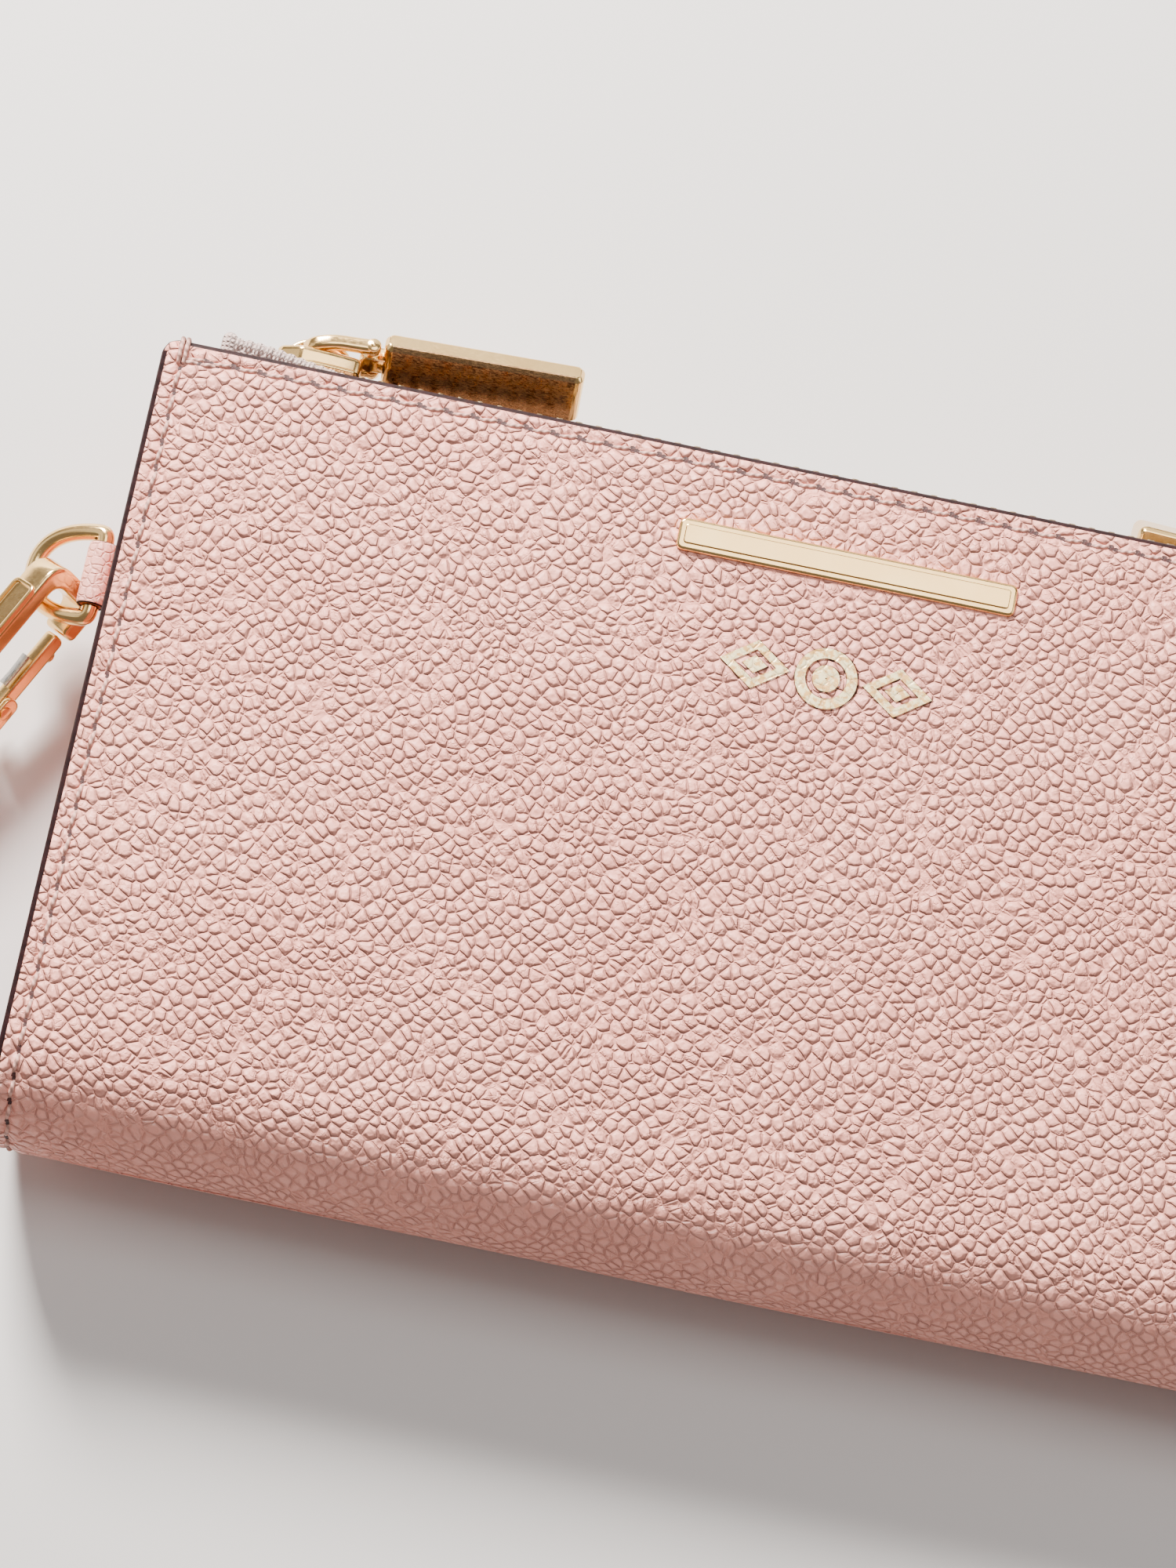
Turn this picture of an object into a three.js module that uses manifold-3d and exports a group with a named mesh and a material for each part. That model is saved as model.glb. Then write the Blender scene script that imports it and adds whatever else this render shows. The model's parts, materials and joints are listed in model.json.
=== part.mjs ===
// A zip wristlet wallet, lying on its back. Millimetres, +Z up.
// Origin: centre of the back face, on the plane it rests on. +X runs along the zips,
// +Y points from the folded bottom edge to the zips, +Z points out of the front panel.
import * as THREE from 'three';
import { mergeVertices } from 'three/addons/utils/BufferGeometryUtils.js';
import Module from 'manifold-3d';

const wasm = await Module();
wasm.setup();

// ---- driving dimensions -------------------------------------------------------------
const LENGTH = 178;          // along X
const HEIGHT = 102;          // along Y, fold to top edges
const DEPTH = 25;            // along Z
const LEATHER = 1.4;
const GAP = 0.3;             // between pieces that touch
const BOARD = 0.8;
const LINING = 0.3;
const TAPE = 0.4;
const LEAF = 0.5;            // pocket leaves and gusset cloth

const LEFT = -LENGTH / 2;
const TOP = HEIGHT / 2;
const MID_Z = DEPTH / 2;
const FOLD_R = DEPTH / 2;                 // outer radius of the folded bottom edge
const FOLD_Y = -HEIGHT / 2 + FOLD_R;      // its centre line, which is also the gape hinge
const FOLD_MIDDLE = 30;                   // half angle of the fold's own strip, degrees

const INNER_X = 82;          // half length of boards and linings
const PANEL_BOTTOM = FOLD_Y + 3;
const PANEL_TOP = 45;        // boards and linings stop here, the zip tapes carry on
const DIVIDER_BOARD = 0.7;

const CHAIN_Y = 52.0;        // middle of the zip chain
const CHAIN_Z = 17.5;
const CHAIN_HALF = 2.6;      // half width of the closed chain
const TEETH_THICK = 1.4;
const TOOTH_PITCH = 3.0;
const TOOTH = 1.1;
const CHAIN_START = -73;
const CHAIN_END = 80;
const TAPE_HALF = 4.15;      // chain centre line to the upright part of each tape
const TAPE_X = 82;

const SLIDER_X = LEFT + 18.75;
const SLIDER_LENGTH = 10.9;
const SLIDER_HALF = 3.6;
const SLIDER_PLATE = 1.0;
const SLIDER_CHANNEL = 2.0;
const CROWN_TOP = 4.9;       // above the middle of the chain

const BAIL_HINGE = [-1.85, 3.35];
const BAIL_REACH = 8.0;      // hinge to pin
const BAIL_WIRE = 1.5;
const BAIL_HALF = 3.0;
const BAIL_TILT = 7;
const BAIL_ROLL = 10;
const PLATE = { length: 24.5, width: 8.0, thick: 3.0, lift: 2.6, roll: 25 };
const TONGUE = { width: 2.6, thick: 2.6, hole: 0.8 };

const RING_WIRE = 2.2;
const RING_X = LEFT - 3.1;   // straight side of the D-ring
const RING_Y = 22.35;
const RING_HALF = 5.6;
const RING_REACH = 8.2;
const RING_DROOP = 20;       // degrees below level

const HOOK = { length: 27, width: 10.5, bar: 2.4, thick: 4.4, heading: 27, slope: 4.5, roll: 55 };
const GATE = { start: 7.0, pivot: 18.9, bar: 2.1, thick: 2.1 };
const STRAP = { width: 8.4, thick: 2.2, heading: 18 };

const PINK = 0xe4c8c3;
const deg = THREE.MathUtils.degToRad;

// ---- materials ----------------------------------------------------------------------
const material = (color, roughness, metalness = 0) =>
  () => new THREE.MeshStandardMaterial({ color, roughness, metalness });
const leather = material(PINK, 0.6);
const cloth = material(0xcdb9b6, 0.9);
const lining = material(0xb98f86, 0.85);
const board = material(0x9c8a74, 0.95);
const gold = material(0xe2c78f, 0.2, 1);

// ---- helpers ------------------------------------------------------------------------
const wallet = new THREE.Group();

function place(name, geometry, mat, parent = wallet) {
  const mesh = new THREE.Mesh(geometry, mat());
  mesh.name = name;
  parent.add(mesh);
  return mesh;
}

function slab(name, [x0, x1], [y0, y1], [z0, z1], mat, parent) {
  const geometry = new THREE.BoxGeometry(x1 - x0, y1 - y0, z1 - z0);
  geometry.translate((x0 + x1) / 2, (y0 + y1) / 2, (z0 + z1) / 2);
  return place(name, geometry, mat, parent);
}

// Extrude a shape drawn in (Y, Z) along X.
const ALONG_X = new THREE.Matrix4().makeBasis(
  new THREE.Vector3(0, 1, 0), new THREE.Vector3(0, 0, 1), new THREE.Vector3(1, 0, 0));
// Extrude a shape drawn in (Z, X) along Y.
const ALONG_Y = new THREE.Matrix4().makeBasis(
  new THREE.Vector3(0, 0, 1), new THREE.Vector3(1, 0, 0), new THREE.Vector3(0, 1, 0));

function extrude(shape, depth, start = 0, options = {}) {
  const geometry = new THREE.ExtrudeGeometry(shape, {
    depth, bevelEnabled: false, curveSegments: 8, ...options });
  return geometry.translate(0, 0, start);
}

const bevelled = (size) => ({
  bevelEnabled: true, bevelSize: size, bevelThickness: size, bevelOffset: -size, bevelSegments: 2 });

function polygon(points) {
  return new THREE.Shape(points.map(([a, b]) => new THREE.Vector2(a, b)));
}

function roundedRect(a0, a1, b0, b1, radius, target = new THREE.Shape()) {
  target.moveTo(a0 + radius, b0);
  target.lineTo(a1 - radius, b0);
  target.absarc(a1 - radius, b0 + radius, radius, -Math.PI / 2, 0, false);
  target.lineTo(a1, b1 - radius);
  target.absarc(a1 - radius, b1 - radius, radius, 0, Math.PI / 2, false);
  target.lineTo(a0 + radius, b1);
  target.absarc(a0 + radius, b1 - radius, radius, Math.PI / 2, Math.PI, false);
  target.lineTo(a0, b0 + radius);
  target.absarc(a0 + radius, b0 + radius, radius, Math.PI, Math.PI * 1.5, false);
  return target;
}

function cylinderAlong(axis, radius, from, to, [a, b], sides = 16) {
  const geometry = new THREE.CylinderGeometry(radius, radius, to - from, sides);
  const middle = (from + to) / 2;
  if (axis === 'x') geometry.rotateZ(Math.PI / 2).translate(middle, a, b);
  if (axis === 'y') geometry.translate(a, middle, b);
  if (axis === 'z') geometry.rotateX(Math.PI / 2).translate(a, b, middle);
  return geometry;
}

function solid(geometry) {
  const bare = geometry.clone();
  bare.deleteAttribute('normal');
  bare.deleteAttribute('uv');
  const merged = mergeVertices(bare, 1e-4);
  return new wasm.Manifold(new wasm.Mesh({
    numProp: 3,
    vertProperties: new Float32Array(merged.attributes.position.array),
    triVerts: new Uint32Array(merged.index.array) }));
}

function surface(manifold) {
  const mesh = manifold.getMesh();
  const geometry = new THREE.BufferGeometry();
  geometry.setAttribute('position', new THREE.BufferAttribute(mesh.vertProperties, 3));
  geometry.setIndex(new THREE.BufferAttribute(mesh.triVerts, 1));
  geometry.computeVertexNormals();
  return geometry;
}

const join = (first, ...rest) =>
  surface(rest.reduce((body, piece) => body.add(solid(piece)), solid(first)));
const cut = (first, ...tools) =>
  surface(tools.reduce((body, tool) => body.subtract(solid(tool)), solid(first)));

// A ring of round wire along a closed outline in its local XY plane.
function wireRing(outline, radius, steps, sides) {
  const path = outline.getSpacedPoints(steps).slice(0, steps);
  const position = [];
  const index = [];
  path.forEach((point, i) => {
    const before = path[(i + steps - 1) % steps];
    const after = path[(i + 1) % steps];
    const along = after.clone().sub(before).normalize();
    for (let j = 0; j < sides; j++) {
      const angle = 2 * Math.PI * j / sides;
      const out = Math.cos(angle) * radius;
      position.push(point.x + along.y * out, point.y - along.x * out, Math.sin(angle) * radius);
      const next = (i + 1) % steps;
      const side = (j + 1) % sides;
      const [a, b, c, d] = [i * sides + j, next * sides + j, next * sides + side, i * sides + side];
      index.push(a, b, c, a, c, d);
    }
  });
  const geometry = new THREE.BufferGeometry();
  geometry.setAttribute('position', new THREE.Float32BufferAttribute(position, 3));
  geometry.setIndex(index);
  geometry.computeVertexNormals();
  return geometry;
}

// A strip of even thickness along a curve in the XY plane, standing width high.
function stripAlong(curve, steps, thick, width) {
  const left = [];
  const right = [];
  for (let i = 0; i <= steps; i++) {
    const point = curve.getPointAt(i / steps);
    const along = curve.getTangentAt(i / steps);
    left.push([point.x - along.y * thick / 2, point.y + along.x * thick / 2]);
    right.push([point.x + along.y * thick / 2, point.y - along.x * thick / 2]);
  }
  return extrude(polygon([...left, ...right.reverse()]), width, -width / 2);
}

// ---- outer leather ------------------------------------------------------------------
function foldArc(shape, radius, fromDeg, toDeg) {
  shape.absarc(FOLD_Y, MID_Z, radius, deg(fromDeg), deg(toDeg), toDeg < fromDeg);
}

const EDGE_GAP = THREE.MathUtils.radToDeg(GAP / FOLD_R);

function leatherPanel(front) {
  const face = front ? DEPTH : 0;
  const inner = front ? DEPTH - LEATHER : LEATHER;
  const start = front ? 90 : 270;
  const end = front ? 180 - FOLD_MIDDLE - EDGE_GAP : 180 + FOLD_MIDDLE + EDGE_GAP;
  const shape = new THREE.Shape();
  shape.moveTo(TOP, face);
  shape.lineTo(FOLD_Y, face);
  foldArc(shape, FOLD_R, start, end);
  foldArc(shape, FOLD_R - LEATHER, end, start);
  shape.lineTo(TOP, inner);
  return extrude(shape, LENGTH, LEFT, { curveSegments: 10 }).applyMatrix4(ALONG_X);
}

const STUD_X = 18;
const STUD_Y = TOP - 11.7;
const STUD_R = 0.8;

const studHoles = [-STUD_X, STUD_X].map((x) =>
  cylinderAlong('z', STUD_R + GAP, DEPTH - 4, DEPTH + 1, [x, STUD_Y], 12));
place('front_leather', cut(leatherPanel(true), ...studHoles), leather);
place('back_leather', leatherPanel(false), leather);

const foldStrip = new THREE.Shape();
foldArc(foldStrip, FOLD_R, 180 - FOLD_MIDDLE, 180 + FOLD_MIDDLE);
foldArc(foldStrip, FOLD_R - LEATHER, 180 + FOLD_MIDDLE, 180 - FOLD_MIDDLE);
place('bottom_fold', extrude(foldStrip, LENGTH, LEFT).applyMatrix4(ALONG_X), leather);

// ---- boards and linings -------------------------------------------------------------
const fullX = [-INNER_X, INNER_X];
const panelY = [PANEL_BOTTOM, PANEL_TOP];
const BOARD_Z = LEATHER + GAP;
const LINING_Z = BOARD_Z + BOARD + GAP;

slab('back_stiffener', fullX, panelY, [BOARD_Z, BOARD_Z + BOARD], board);
slab('back_lining', fullX, panelY, [LINING_Z, LINING_Z + LINING], lining);

const stiffener = new THREE.BoxGeometry(2 * INNER_X, PANEL_TOP - PANEL_BOTTOM, BOARD)
  .translate(0, (PANEL_TOP + PANEL_BOTTOM) / 2, DEPTH - BOARD_Z - BOARD / 2);
place('front_stiffener', cut(stiffener, ...studHoles), board);
slab('front_lining', fullX, panelY, [DEPTH - LINING_Z - LINING, DEPTH - LINING_Z], lining);

const half = DIVIDER_BOARD / 2;
const dividerY = [PANEL_BOTTOM, PANEL_TOP - 1];
slab('divider_board', fullX, dividerY, [MID_Z - half, MID_Z + half], board);
slab('divider_front_lining', fullX, dividerY,
  [MID_Z + half + GAP, MID_Z + half + GAP + LINING], lining);
slab('divider_back_lining', fullX, dividerY,
  [MID_Z - half - GAP - LINING, MID_Z - half - GAP], lining);
slab('divider_binding', fullX, [PANEL_TOP - 1 + GAP, TOP - 1], [MID_Z - 0.3, MID_Z + 0.3], leather);

// ---- pockets inside -----------------------------------------------------------------
const POCKET_X = 76;
const LEAF_STEP = LEAF + GAP;
[30, 20, 10].forEach((top, i) => {
  const z = LINING_Z + LINING + GAP + i * LEAF_STEP;
  slab(`card_pocket_${i + 1}`, [-POCKET_X, POCKET_X], [PANEL_BOTTOM + 1, top], [z, z + LEAF], leather);
});
const leafZ = half + 2 * GAP + LINING;
slab('phone_pocket', [-POCKET_X, POCKET_X], [PANEL_BOTTOM + 1, 22],
  [MID_Z + leafZ, MID_Z + leafZ + LEAF], leather);
slab('note_pocket', [-POCKET_X, POCKET_X], [PANEL_BOTTOM + 1, 36],
  [MID_Z - leafZ - LEAF, MID_Z - leafZ], lining);

// ---- side gussets: V-folded strips, the fold pointing inwards --------------------------
const GUSSET_OUT = 86.5;
const GUSSET_IN = 79;
const GUSSET_HALF = 3.7;
const GUSSET_Y = [PANEL_BOTTOM + 1, PANEL_TOP - 1];

function gusset(name, side, z) {
  const thick = LEAF * 1.4;
  const at = (x) => side * x;
  const outer = [[z - GUSSET_HALF, at(GUSSET_OUT)], [z, at(GUSSET_IN + thick)],
    [z + GUSSET_HALF, at(GUSSET_OUT)]];
  const inner = [[z + GUSSET_HALF, at(GUSSET_OUT - thick)], [z, at(GUSSET_IN)],
    [z - GUSSET_HALF, at(GUSSET_OUT - thick)]];
  const geometry = extrude(polygon([...outer, ...inner]), GUSSET_Y[1] - GUSSET_Y[0], GUSSET_Y[0]);
  place(name, geometry.applyMatrix4(ALONG_Y), leather);
}

[['left', -1], ['right', 1]].forEach(([word, side]) => {
  gusset(`front_gusset_${word}`, side, CHAIN_Z);
  gusset(`back_gusset_${word}`, side, DEPTH - CHAIN_Z);
});

// ---- zips -----------------------------------------------------------------------------
// One row of teeth on its beaded edge. side is +1 for the row on the outer tape.
function teethRow(side) {
  const bead = side * CHAIN_HALF;
  const root = side * (CHAIN_HALF - 0.8);
  const tip = side * 0.15;
  const points = [[bead, CHAIN_START], [root, CHAIN_START]];
  const count = Math.floor((CHAIN_END - CHAIN_START) / TOOTH_PITCH);
  const first = CHAIN_START + 0.2 + (side > 0 ? 0 : TOOTH_PITCH / 2);
  for (let i = 0; i < count; i++) {
    const x = first + i * TOOTH_PITCH;
    points.push([root, x], [tip, x], [tip, x + TOOTH], [root, x + TOOTH]);
  }
  points.push([root, CHAIN_END], [bead, CHAIN_END]);
  return extrude(polygon(points), TEETH_THICK, -TEETH_THICK / 2).applyMatrix4(ALONG_Y);
}

// Tape: upright where it is sewn to the panel, turned in towards the chain at the top.
function tape(side) {
  const out = side * TAPE_HALF;
  const edge = side * (CHAIN_HALF + GAP);
  const t = side * TAPE / 2;
  const bottom = PANEL_TOP + GAP - CHAIN_Y;
  const profile = [[bottom, out - t], [-TAPE / 2, out - t], [-TAPE / 2, edge], [TAPE / 2, edge],
    [TAPE / 2, out + t], [bottom, out + t]];
  return extrude(polygon(profile), 2 * TAPE_X, -TAPE_X).applyMatrix4(ALONG_X);
}

function sliderBody() {
  const end = SLIDER_LENGTH / 2;
  const channel = SLIDER_CHANNEL / 2;
  const plateShape = roundedRect(-SLIDER_HALF, SLIDER_HALF, -end, end, 2.0);
  const lower = extrude(plateShape, SLIDER_PLATE, -channel - SLIDER_PLATE);
  const upper = extrude(plateShape, SLIDER_PLATE, channel);
  const neck = new THREE.BoxGeometry(1.1, 1.0, SLIDER_CHANNEL + 1).translate(0.85, -end + 0.9, 0);
  const lips = [-1, 1].flatMap((side) => [-1, 1].map((level) =>
    new THREE.BoxGeometry(0.5, SLIDER_LENGTH - 4.2, 0.8)
      .translate(side * (SLIDER_HALF - 0.25), 0, level * (channel - 0.1))));
  const arch = new THREE.Shape();
  const base = channel + 0.5;
  arch.moveTo(-4.3, base);
  arch.bezierCurveTo(-4.3, CROWN_TOP, -3.6, CROWN_TOP, 0, CROWN_TOP);
  arch.bezierCurveTo(3.6, CROWN_TOP, 4.3, CROWN_TOP, 4.3, base);
  const eye = new THREE.Path();
  roundedRect(-3.1, 2.8, channel + SLIDER_PLATE, CROWN_TOP - 0.5, 0.3, eye);
  arch.holes.push(eye);
  // The arch is drawn in (X, Y) of the zip.
  const crown = extrude(arch, 1.6, -0.8, { curveSegments: 6 });
  const plates = [lower, upper, neck, ...lips].map((piece) => piece.applyMatrix4(ALONG_Y));
  return join(...plates, crown);
}

// U-shaped bail: its closed end lies in the slider's eye, its arms carry the pin.
function bail() {
  const wire = BAIL_WIRE / 2;
  const outline = new THREE.Shape();
  const outer = BAIL_HALF + wire;
  const inner = BAIL_HALF - wire;
  const tip = BAIL_REACH + 1.5;
  outline.moveTo(tip, outer);
  outline.lineTo(1.6, outer);
  outline.bezierCurveTo(-0.3, outer, -wire, outer - 0.8, -wire, 0);
  outline.bezierCurveTo(-wire, -outer + 0.8, -0.3, -outer, 1.6, -outer);
  outline.lineTo(tip, -outer);
  outline.lineTo(tip, -inner);
  outline.lineTo(2.0, -inner);
  outline.bezierCurveTo(1.2, -inner, wire, -inner + 0.4, wire, 0);
  outline.bezierCurveTo(wire, inner - 0.4, 1.2, inner, 2.0, inner);
  outline.lineTo(tip, inner);
  const frame = extrude(outline, BAIL_WIRE - 0.6, -BAIL_WIRE / 2 + 0.3, {
    bevelEnabled: true, bevelSize: 0.3, bevelThickness: 0.3, bevelOffset: -0.3, bevelSegments: 1 });
  frame.rotateX(-Math.PI / 2);
  const pin = cylinderAlong('z', 0.38, -outer - 0.1, outer + 0.1, [BAIL_REACH, 0], 10);
  return join(frame, pin);
}

// Pull plate with a tongue that reaches back between the bail's arms.
function pullPlate() {
  const { length, width, thick } = PLATE;
  const start = 1.7;
  const blade = extrude(roundedRect(start, start + length, -width / 2, width / 2, 1.3),
    thick - 1.2, -(thick - 1.2) / 2, bevelled(0.6));
  const tongue = extrude(
    roundedRect(-1.4, start + 1.2, -TONGUE.width / 2, TONGUE.width / 2, 0.7), TONGUE.thick,
    -TONGUE.thick / 2);
  const hole = cylinderAlong('y', TONGUE.hole, -width, width, [0, 0], 12);
  const body = join(blade, tongue);
  return cut(body, hole).rotateX(-Math.PI / 2);
}

function zip(prefix) {
  const group = new THREE.Group();
  group.position.set(0, CHAIN_Y, CHAIN_Z);
  place(`${prefix}_zip_outer_tape`, tape(1), cloth, group);
  place(`${prefix}_zip_inner_tape`, tape(-1), cloth, group);
  place(`${prefix}_zip_outer_teeth`, teethRow(1), gold, group);
  place(`${prefix}_zip_inner_teeth`, teethRow(-1), gold, group);
  const stopX = CHAIN_START - 4.6;
  const stopY = [-0.9, 0.9];
  slab(`${prefix}_zip_outer_stop`, [stopX, stopX + 1.6], stopY, [0.3, CHAIN_HALF], gold, group);
  slab(`${prefix}_zip_inner_stop`, [stopX, stopX + 1.6], stopY, [-CHAIN_HALF, -0.3], gold, group);
  slab(`${prefix}_zip_end_stop`, [CHAIN_END + GAP, CHAIN_END + GAP + 1.8], stopY,
    [-CHAIN_HALF, -0.3], gold, group);

  const runner = new THREE.Group();
  runner.position.x = SLIDER_X;
  group.add(runner);
  place(`${prefix}_slider`, sliderBody(), gold, runner);

  const bailGroup = new THREE.Group();
  bailGroup.position.set(BAIL_HINGE[0], BAIL_HINGE[1], 0);
  bailGroup.rotation.set(-deg(BAIL_ROLL), 0, deg(BAIL_TILT), 'XYZ');
  runner.add(bailGroup);
  place(`${prefix}_bail`, bail(), gold, bailGroup);

  const plateGroup = new THREE.Group();
  const reach = new THREE.Vector3(BAIL_REACH, 0, 0).applyEuler(bailGroup.rotation);
  plateGroup.position.copy(bailGroup.position).add(reach);
  plateGroup.rotation.set(-deg(PLATE.roll), 0, deg(PLATE.lift), 'XYZ');
  runner.add(plateGroup);
  place(`${prefix}_pull_plate`, pullPlate(), gold, plateGroup);
  return group;
}

wallet.add(zip('front'));
const backZip = new THREE.Group();
backZip.position.z = DEPTH;
backZip.rotation.y = Math.PI;
backZip.add(zip('back'));
wallet.add(backZip);

// ---- nameplate: a plain bar on two studs through the front panel --------------------------
const NAMEPLATE = { length: 43, height: 4.2, thick: 1.1 };
const bar = extrude(
  roundedRect(-NAMEPLATE.length / 2, NAMEPLATE.length / 2, STUD_Y - NAMEPLATE.height / 2,
    STUD_Y + NAMEPLATE.height / 2, 0.9),
  NAMEPLATE.thick - 0.8, DEPTH + 0.05 + 0.4, bevelled(0.4));
const studs = [-STUD_X, STUD_X].map((x) =>
  cylinderAlong('z', STUD_R, DEPTH - BOARD_Z - BOARD - 0.2, DEPTH + 0.6, [x, STUD_Y], 12));
place('nameplate', join(bar, ...studs), gold);

// ---- D-ring and its tab -----------------------------------------------------------------
const TAB_HALF = 4.15;
const TAB_INNER = RING_WIRE / 2 + 0.2;
const TAB_OUTER = TAB_INNER + 0.65;
const tabTail = 0.8;
const tabShape = new THREE.Shape();
const tabReach = LEFT + 6 - RING_X;
tabShape.moveTo(-tabTail, tabReach);
tabShape.lineTo(-tabTail, Math.sqrt(TAB_OUTER ** 2 - tabTail ** 2));
tabShape.absarc(0, 0, TAB_OUTER, Math.atan2(Math.sqrt(TAB_OUTER ** 2 - tabTail ** 2), -tabTail),
  Math.atan2(Math.sqrt(TAB_OUTER ** 2 - tabTail ** 2), tabTail) + 2 * Math.PI, false);
tabShape.lineTo(tabTail, tabReach);
const tabHole = new THREE.Path();
tabHole.absarc(0, 0, TAB_INNER, 0, 2 * Math.PI, true);
tabShape.holes.push(tabHole);
place('ring_tab', extrude(tabShape, 2 * TAB_HALF, -TAB_HALF, { curveSegments: 12 })
  .applyMatrix4(ALONG_Y), leather).position.set(RING_X, RING_Y, MID_Z);

const dOutline = new THREE.Shape();
dOutline.moveTo(0, RING_HALF - 1.2);
dOutline.lineTo(0, -RING_HALF + 1.2);
dOutline.bezierCurveTo(0, -RING_HALF, 0.4, -RING_HALF - 0.1, 1.6, -RING_HALF - 0.1);
dOutline.bezierCurveTo(RING_REACH - 2.2, -RING_HALF, RING_REACH, -3.2, RING_REACH, 0);
dOutline.bezierCurveTo(RING_REACH, 3.2, RING_REACH - 2.2, RING_HALF, 1.6, RING_HALF + 0.1);
dOutline.bezierCurveTo(0.4, RING_HALF + 0.1, 0, RING_HALF, 0, RING_HALF - 1.2);

// Ring axes: local X points out of the wallet and droops, local Y is the wallet's -Y.
const ringGroup = new THREE.Group();
ringGroup.position.set(RING_X, RING_Y, MID_Z);
ringGroup.rotation.set(0, -deg(RING_DROOP), Math.PI, 'YXZ');
wallet.add(ringGroup);
place('d_ring', wireRing(dOutline, RING_WIRE / 2, 44, 10), gold, ringGroup);

// ---- snap hook -------------------------------------------------------------------------
// Its frame: u runs from head to tail, v from the plaque bar to the gate, w across the bars.
const heading = deg(HOOK.heading);
const flat = new THREE.Vector3(-Math.sin(heading), -Math.cos(heading), 0);
const right = new THREE.Vector3(Math.cos(heading), -Math.sin(heading), 0);
const u = flat.clone().multiplyScalar(Math.cos(deg(HOOK.slope)));
u.z = -Math.sin(deg(HOOK.slope));
const up = new THREE.Vector3().crossVectors(u, right);
const v = right.clone().multiplyScalar(Math.cos(deg(HOOK.roll)))
  .addScaledVector(up, -Math.sin(deg(HOOK.roll)));
const w = new THREE.Vector3().crossVectors(u, v);

const CROSSING = 0.78;       // where the hook hangs, as a share of the ring's outline
const crossingLocal = dOutline.getPointAt(CROSSING);
ringGroup.updateMatrixWorld(true);
const crossing = new THREE.Vector3(crossingLocal.x, crossingLocal.y, 0)
  .applyMatrix4(ringGroup.matrixWorld);

const HANG = [HOOK.bar + RING_WIRE / 2 + 1.4, -0.7];   // the wire's place inside the hook
const hookGroup = new THREE.Group();
const hookBasis = new THREE.Matrix4().makeBasis(u, v, w);
hookGroup.quaternion.setFromRotationMatrix(hookBasis);
hookGroup.position.copy(crossing).addScaledVector(u, -HANG[0]).addScaledVector(v, -HANG[1]);
wallet.add(hookGroup);

const hw = HOOK.width / 2;
const TAIL = 5;
const EAR_START = 16.6;
function hookFrame() {
  const outline = roundedRect(0, HOOK.length, -hw, hw, 2.8);
  const inside = new THREE.Path();
  roundedRect(HOOK.bar, HOOK.length - TAIL, -hw + HOOK.bar, hw - HOOK.bar, 1.4, inside);
  outline.holes.push(inside);
  const body = extrude(outline, HOOK.thick - 0.8, -HOOK.thick / 2 + 0.4, {
    ...bevelled(0.4), bevelSegments: 1, curveSegments: 5 });
  const noseEnd = GATE.start - GAP;
  const mouth = new THREE.BoxGeometry(EAR_START - noseEnd, HOOK.bar + 1, HOOK.thick + 2)
    .translate((EAR_START + noseEnd) / 2, hw - HOOK.bar / 2 + 0.2, 0);
  const slot = new THREE.BoxGeometry(5.2, HOOK.bar + 1, GATE.thick + 2 * GAP)
    .translate(EAR_START + 2.1, hw - HOOK.bar / 2 + 0.2, 0);
  const recess = new THREE.BoxGeometry(14.6, 0.8, HOOK.thick - 1.5)
    .translate(13.7, -hw, 0);
  const rivetHole = cylinderAlong('z', 0.85, -4, 4, [GATE.pivot, hw - HOOK.bar / 2], 12);
  const postHole = cylinderAlong('x', 1.3, HOOK.length - TAIL - 1, HOOK.length + 1, [0, 0], 14);
  return cut(body, mouth, slot, recess, rivetHole, postHole);
}

function gateBar() {
  const outer = hw;
  const inner = hw - GATE.bar;
  const blade = extrude(roundedRect(GATE.start, GATE.pivot + 1.0, inner, outer - 0.1, 0.5),
    GATE.thick, -GATE.thick / 2, { curveSegments: 3 });
  const hole = cylinderAlong('z', 0.8, -4, 4, [GATE.pivot, hw - HOOK.bar / 2], 12);
  return cut(blade, hole);
}

place('hook', hookFrame(), gold, hookGroup);
place('hook_gate', gateBar(), gold, hookGroup);
place('gate_rivet', cylinderAlong('z', 0.5, -HOOK.thick / 2 - 0.25, HOOK.thick / 2 + 0.25,
  [GATE.pivot, hw - HOOK.bar / 2], 12), gold, hookGroup);
slab('gate_spring', [11.5, 16.0], [hw - HOOK.bar - 0.6, hw - HOOK.bar - 0.3], [-0.7, 0.7],
  gold, hookGroup);

// ---- swivel ring -------------------------------------------------------------------------
const SWIVEL = { start: HOOK.length + 0.6, length: 9.0, half: 6.6, wire: 1.6 };
const swivelGroup = new THREE.Group();
swivelGroup.quaternion.setFromRotationMatrix(
  new THREE.Matrix4().makeBasis(u, up, new THREE.Vector3().crossVectors(u, up)));
swivelGroup.position.copy(hookGroup.position);
wallet.add(swivelGroup);

function swivelRing() {
  const { start, length, half: tall, wire } = SWIVEL;
  const outline = roundedRect(start, start + length, -tall, tall, 1.4);
  const inside = new THREE.Path();
  roundedRect(start + wire, start + length - wire, -tall + wire, tall - wire, 0.5, inside);
  outline.holes.push(inside);
  const frame = extrude(outline, wire - 0.6, -wire / 2 + 0.3, {
    ...bevelled(0.3), bevelSegments: 1, curveSegments: 4 });
  const post = cylinderAlong('x', 1.0, HOOK.length - TAIL - 1.2, start + 0.8, [0, 0], 12);
  const head = cylinderAlong('x', 1.8, HOOK.length - TAIL - 1.3, HOOK.length - TAIL - 0.3,
    [0, 0], 12);
  return join(frame, post, head);
}
place('swivel_ring', swivelRing(), gold, swivelGroup);

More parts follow.
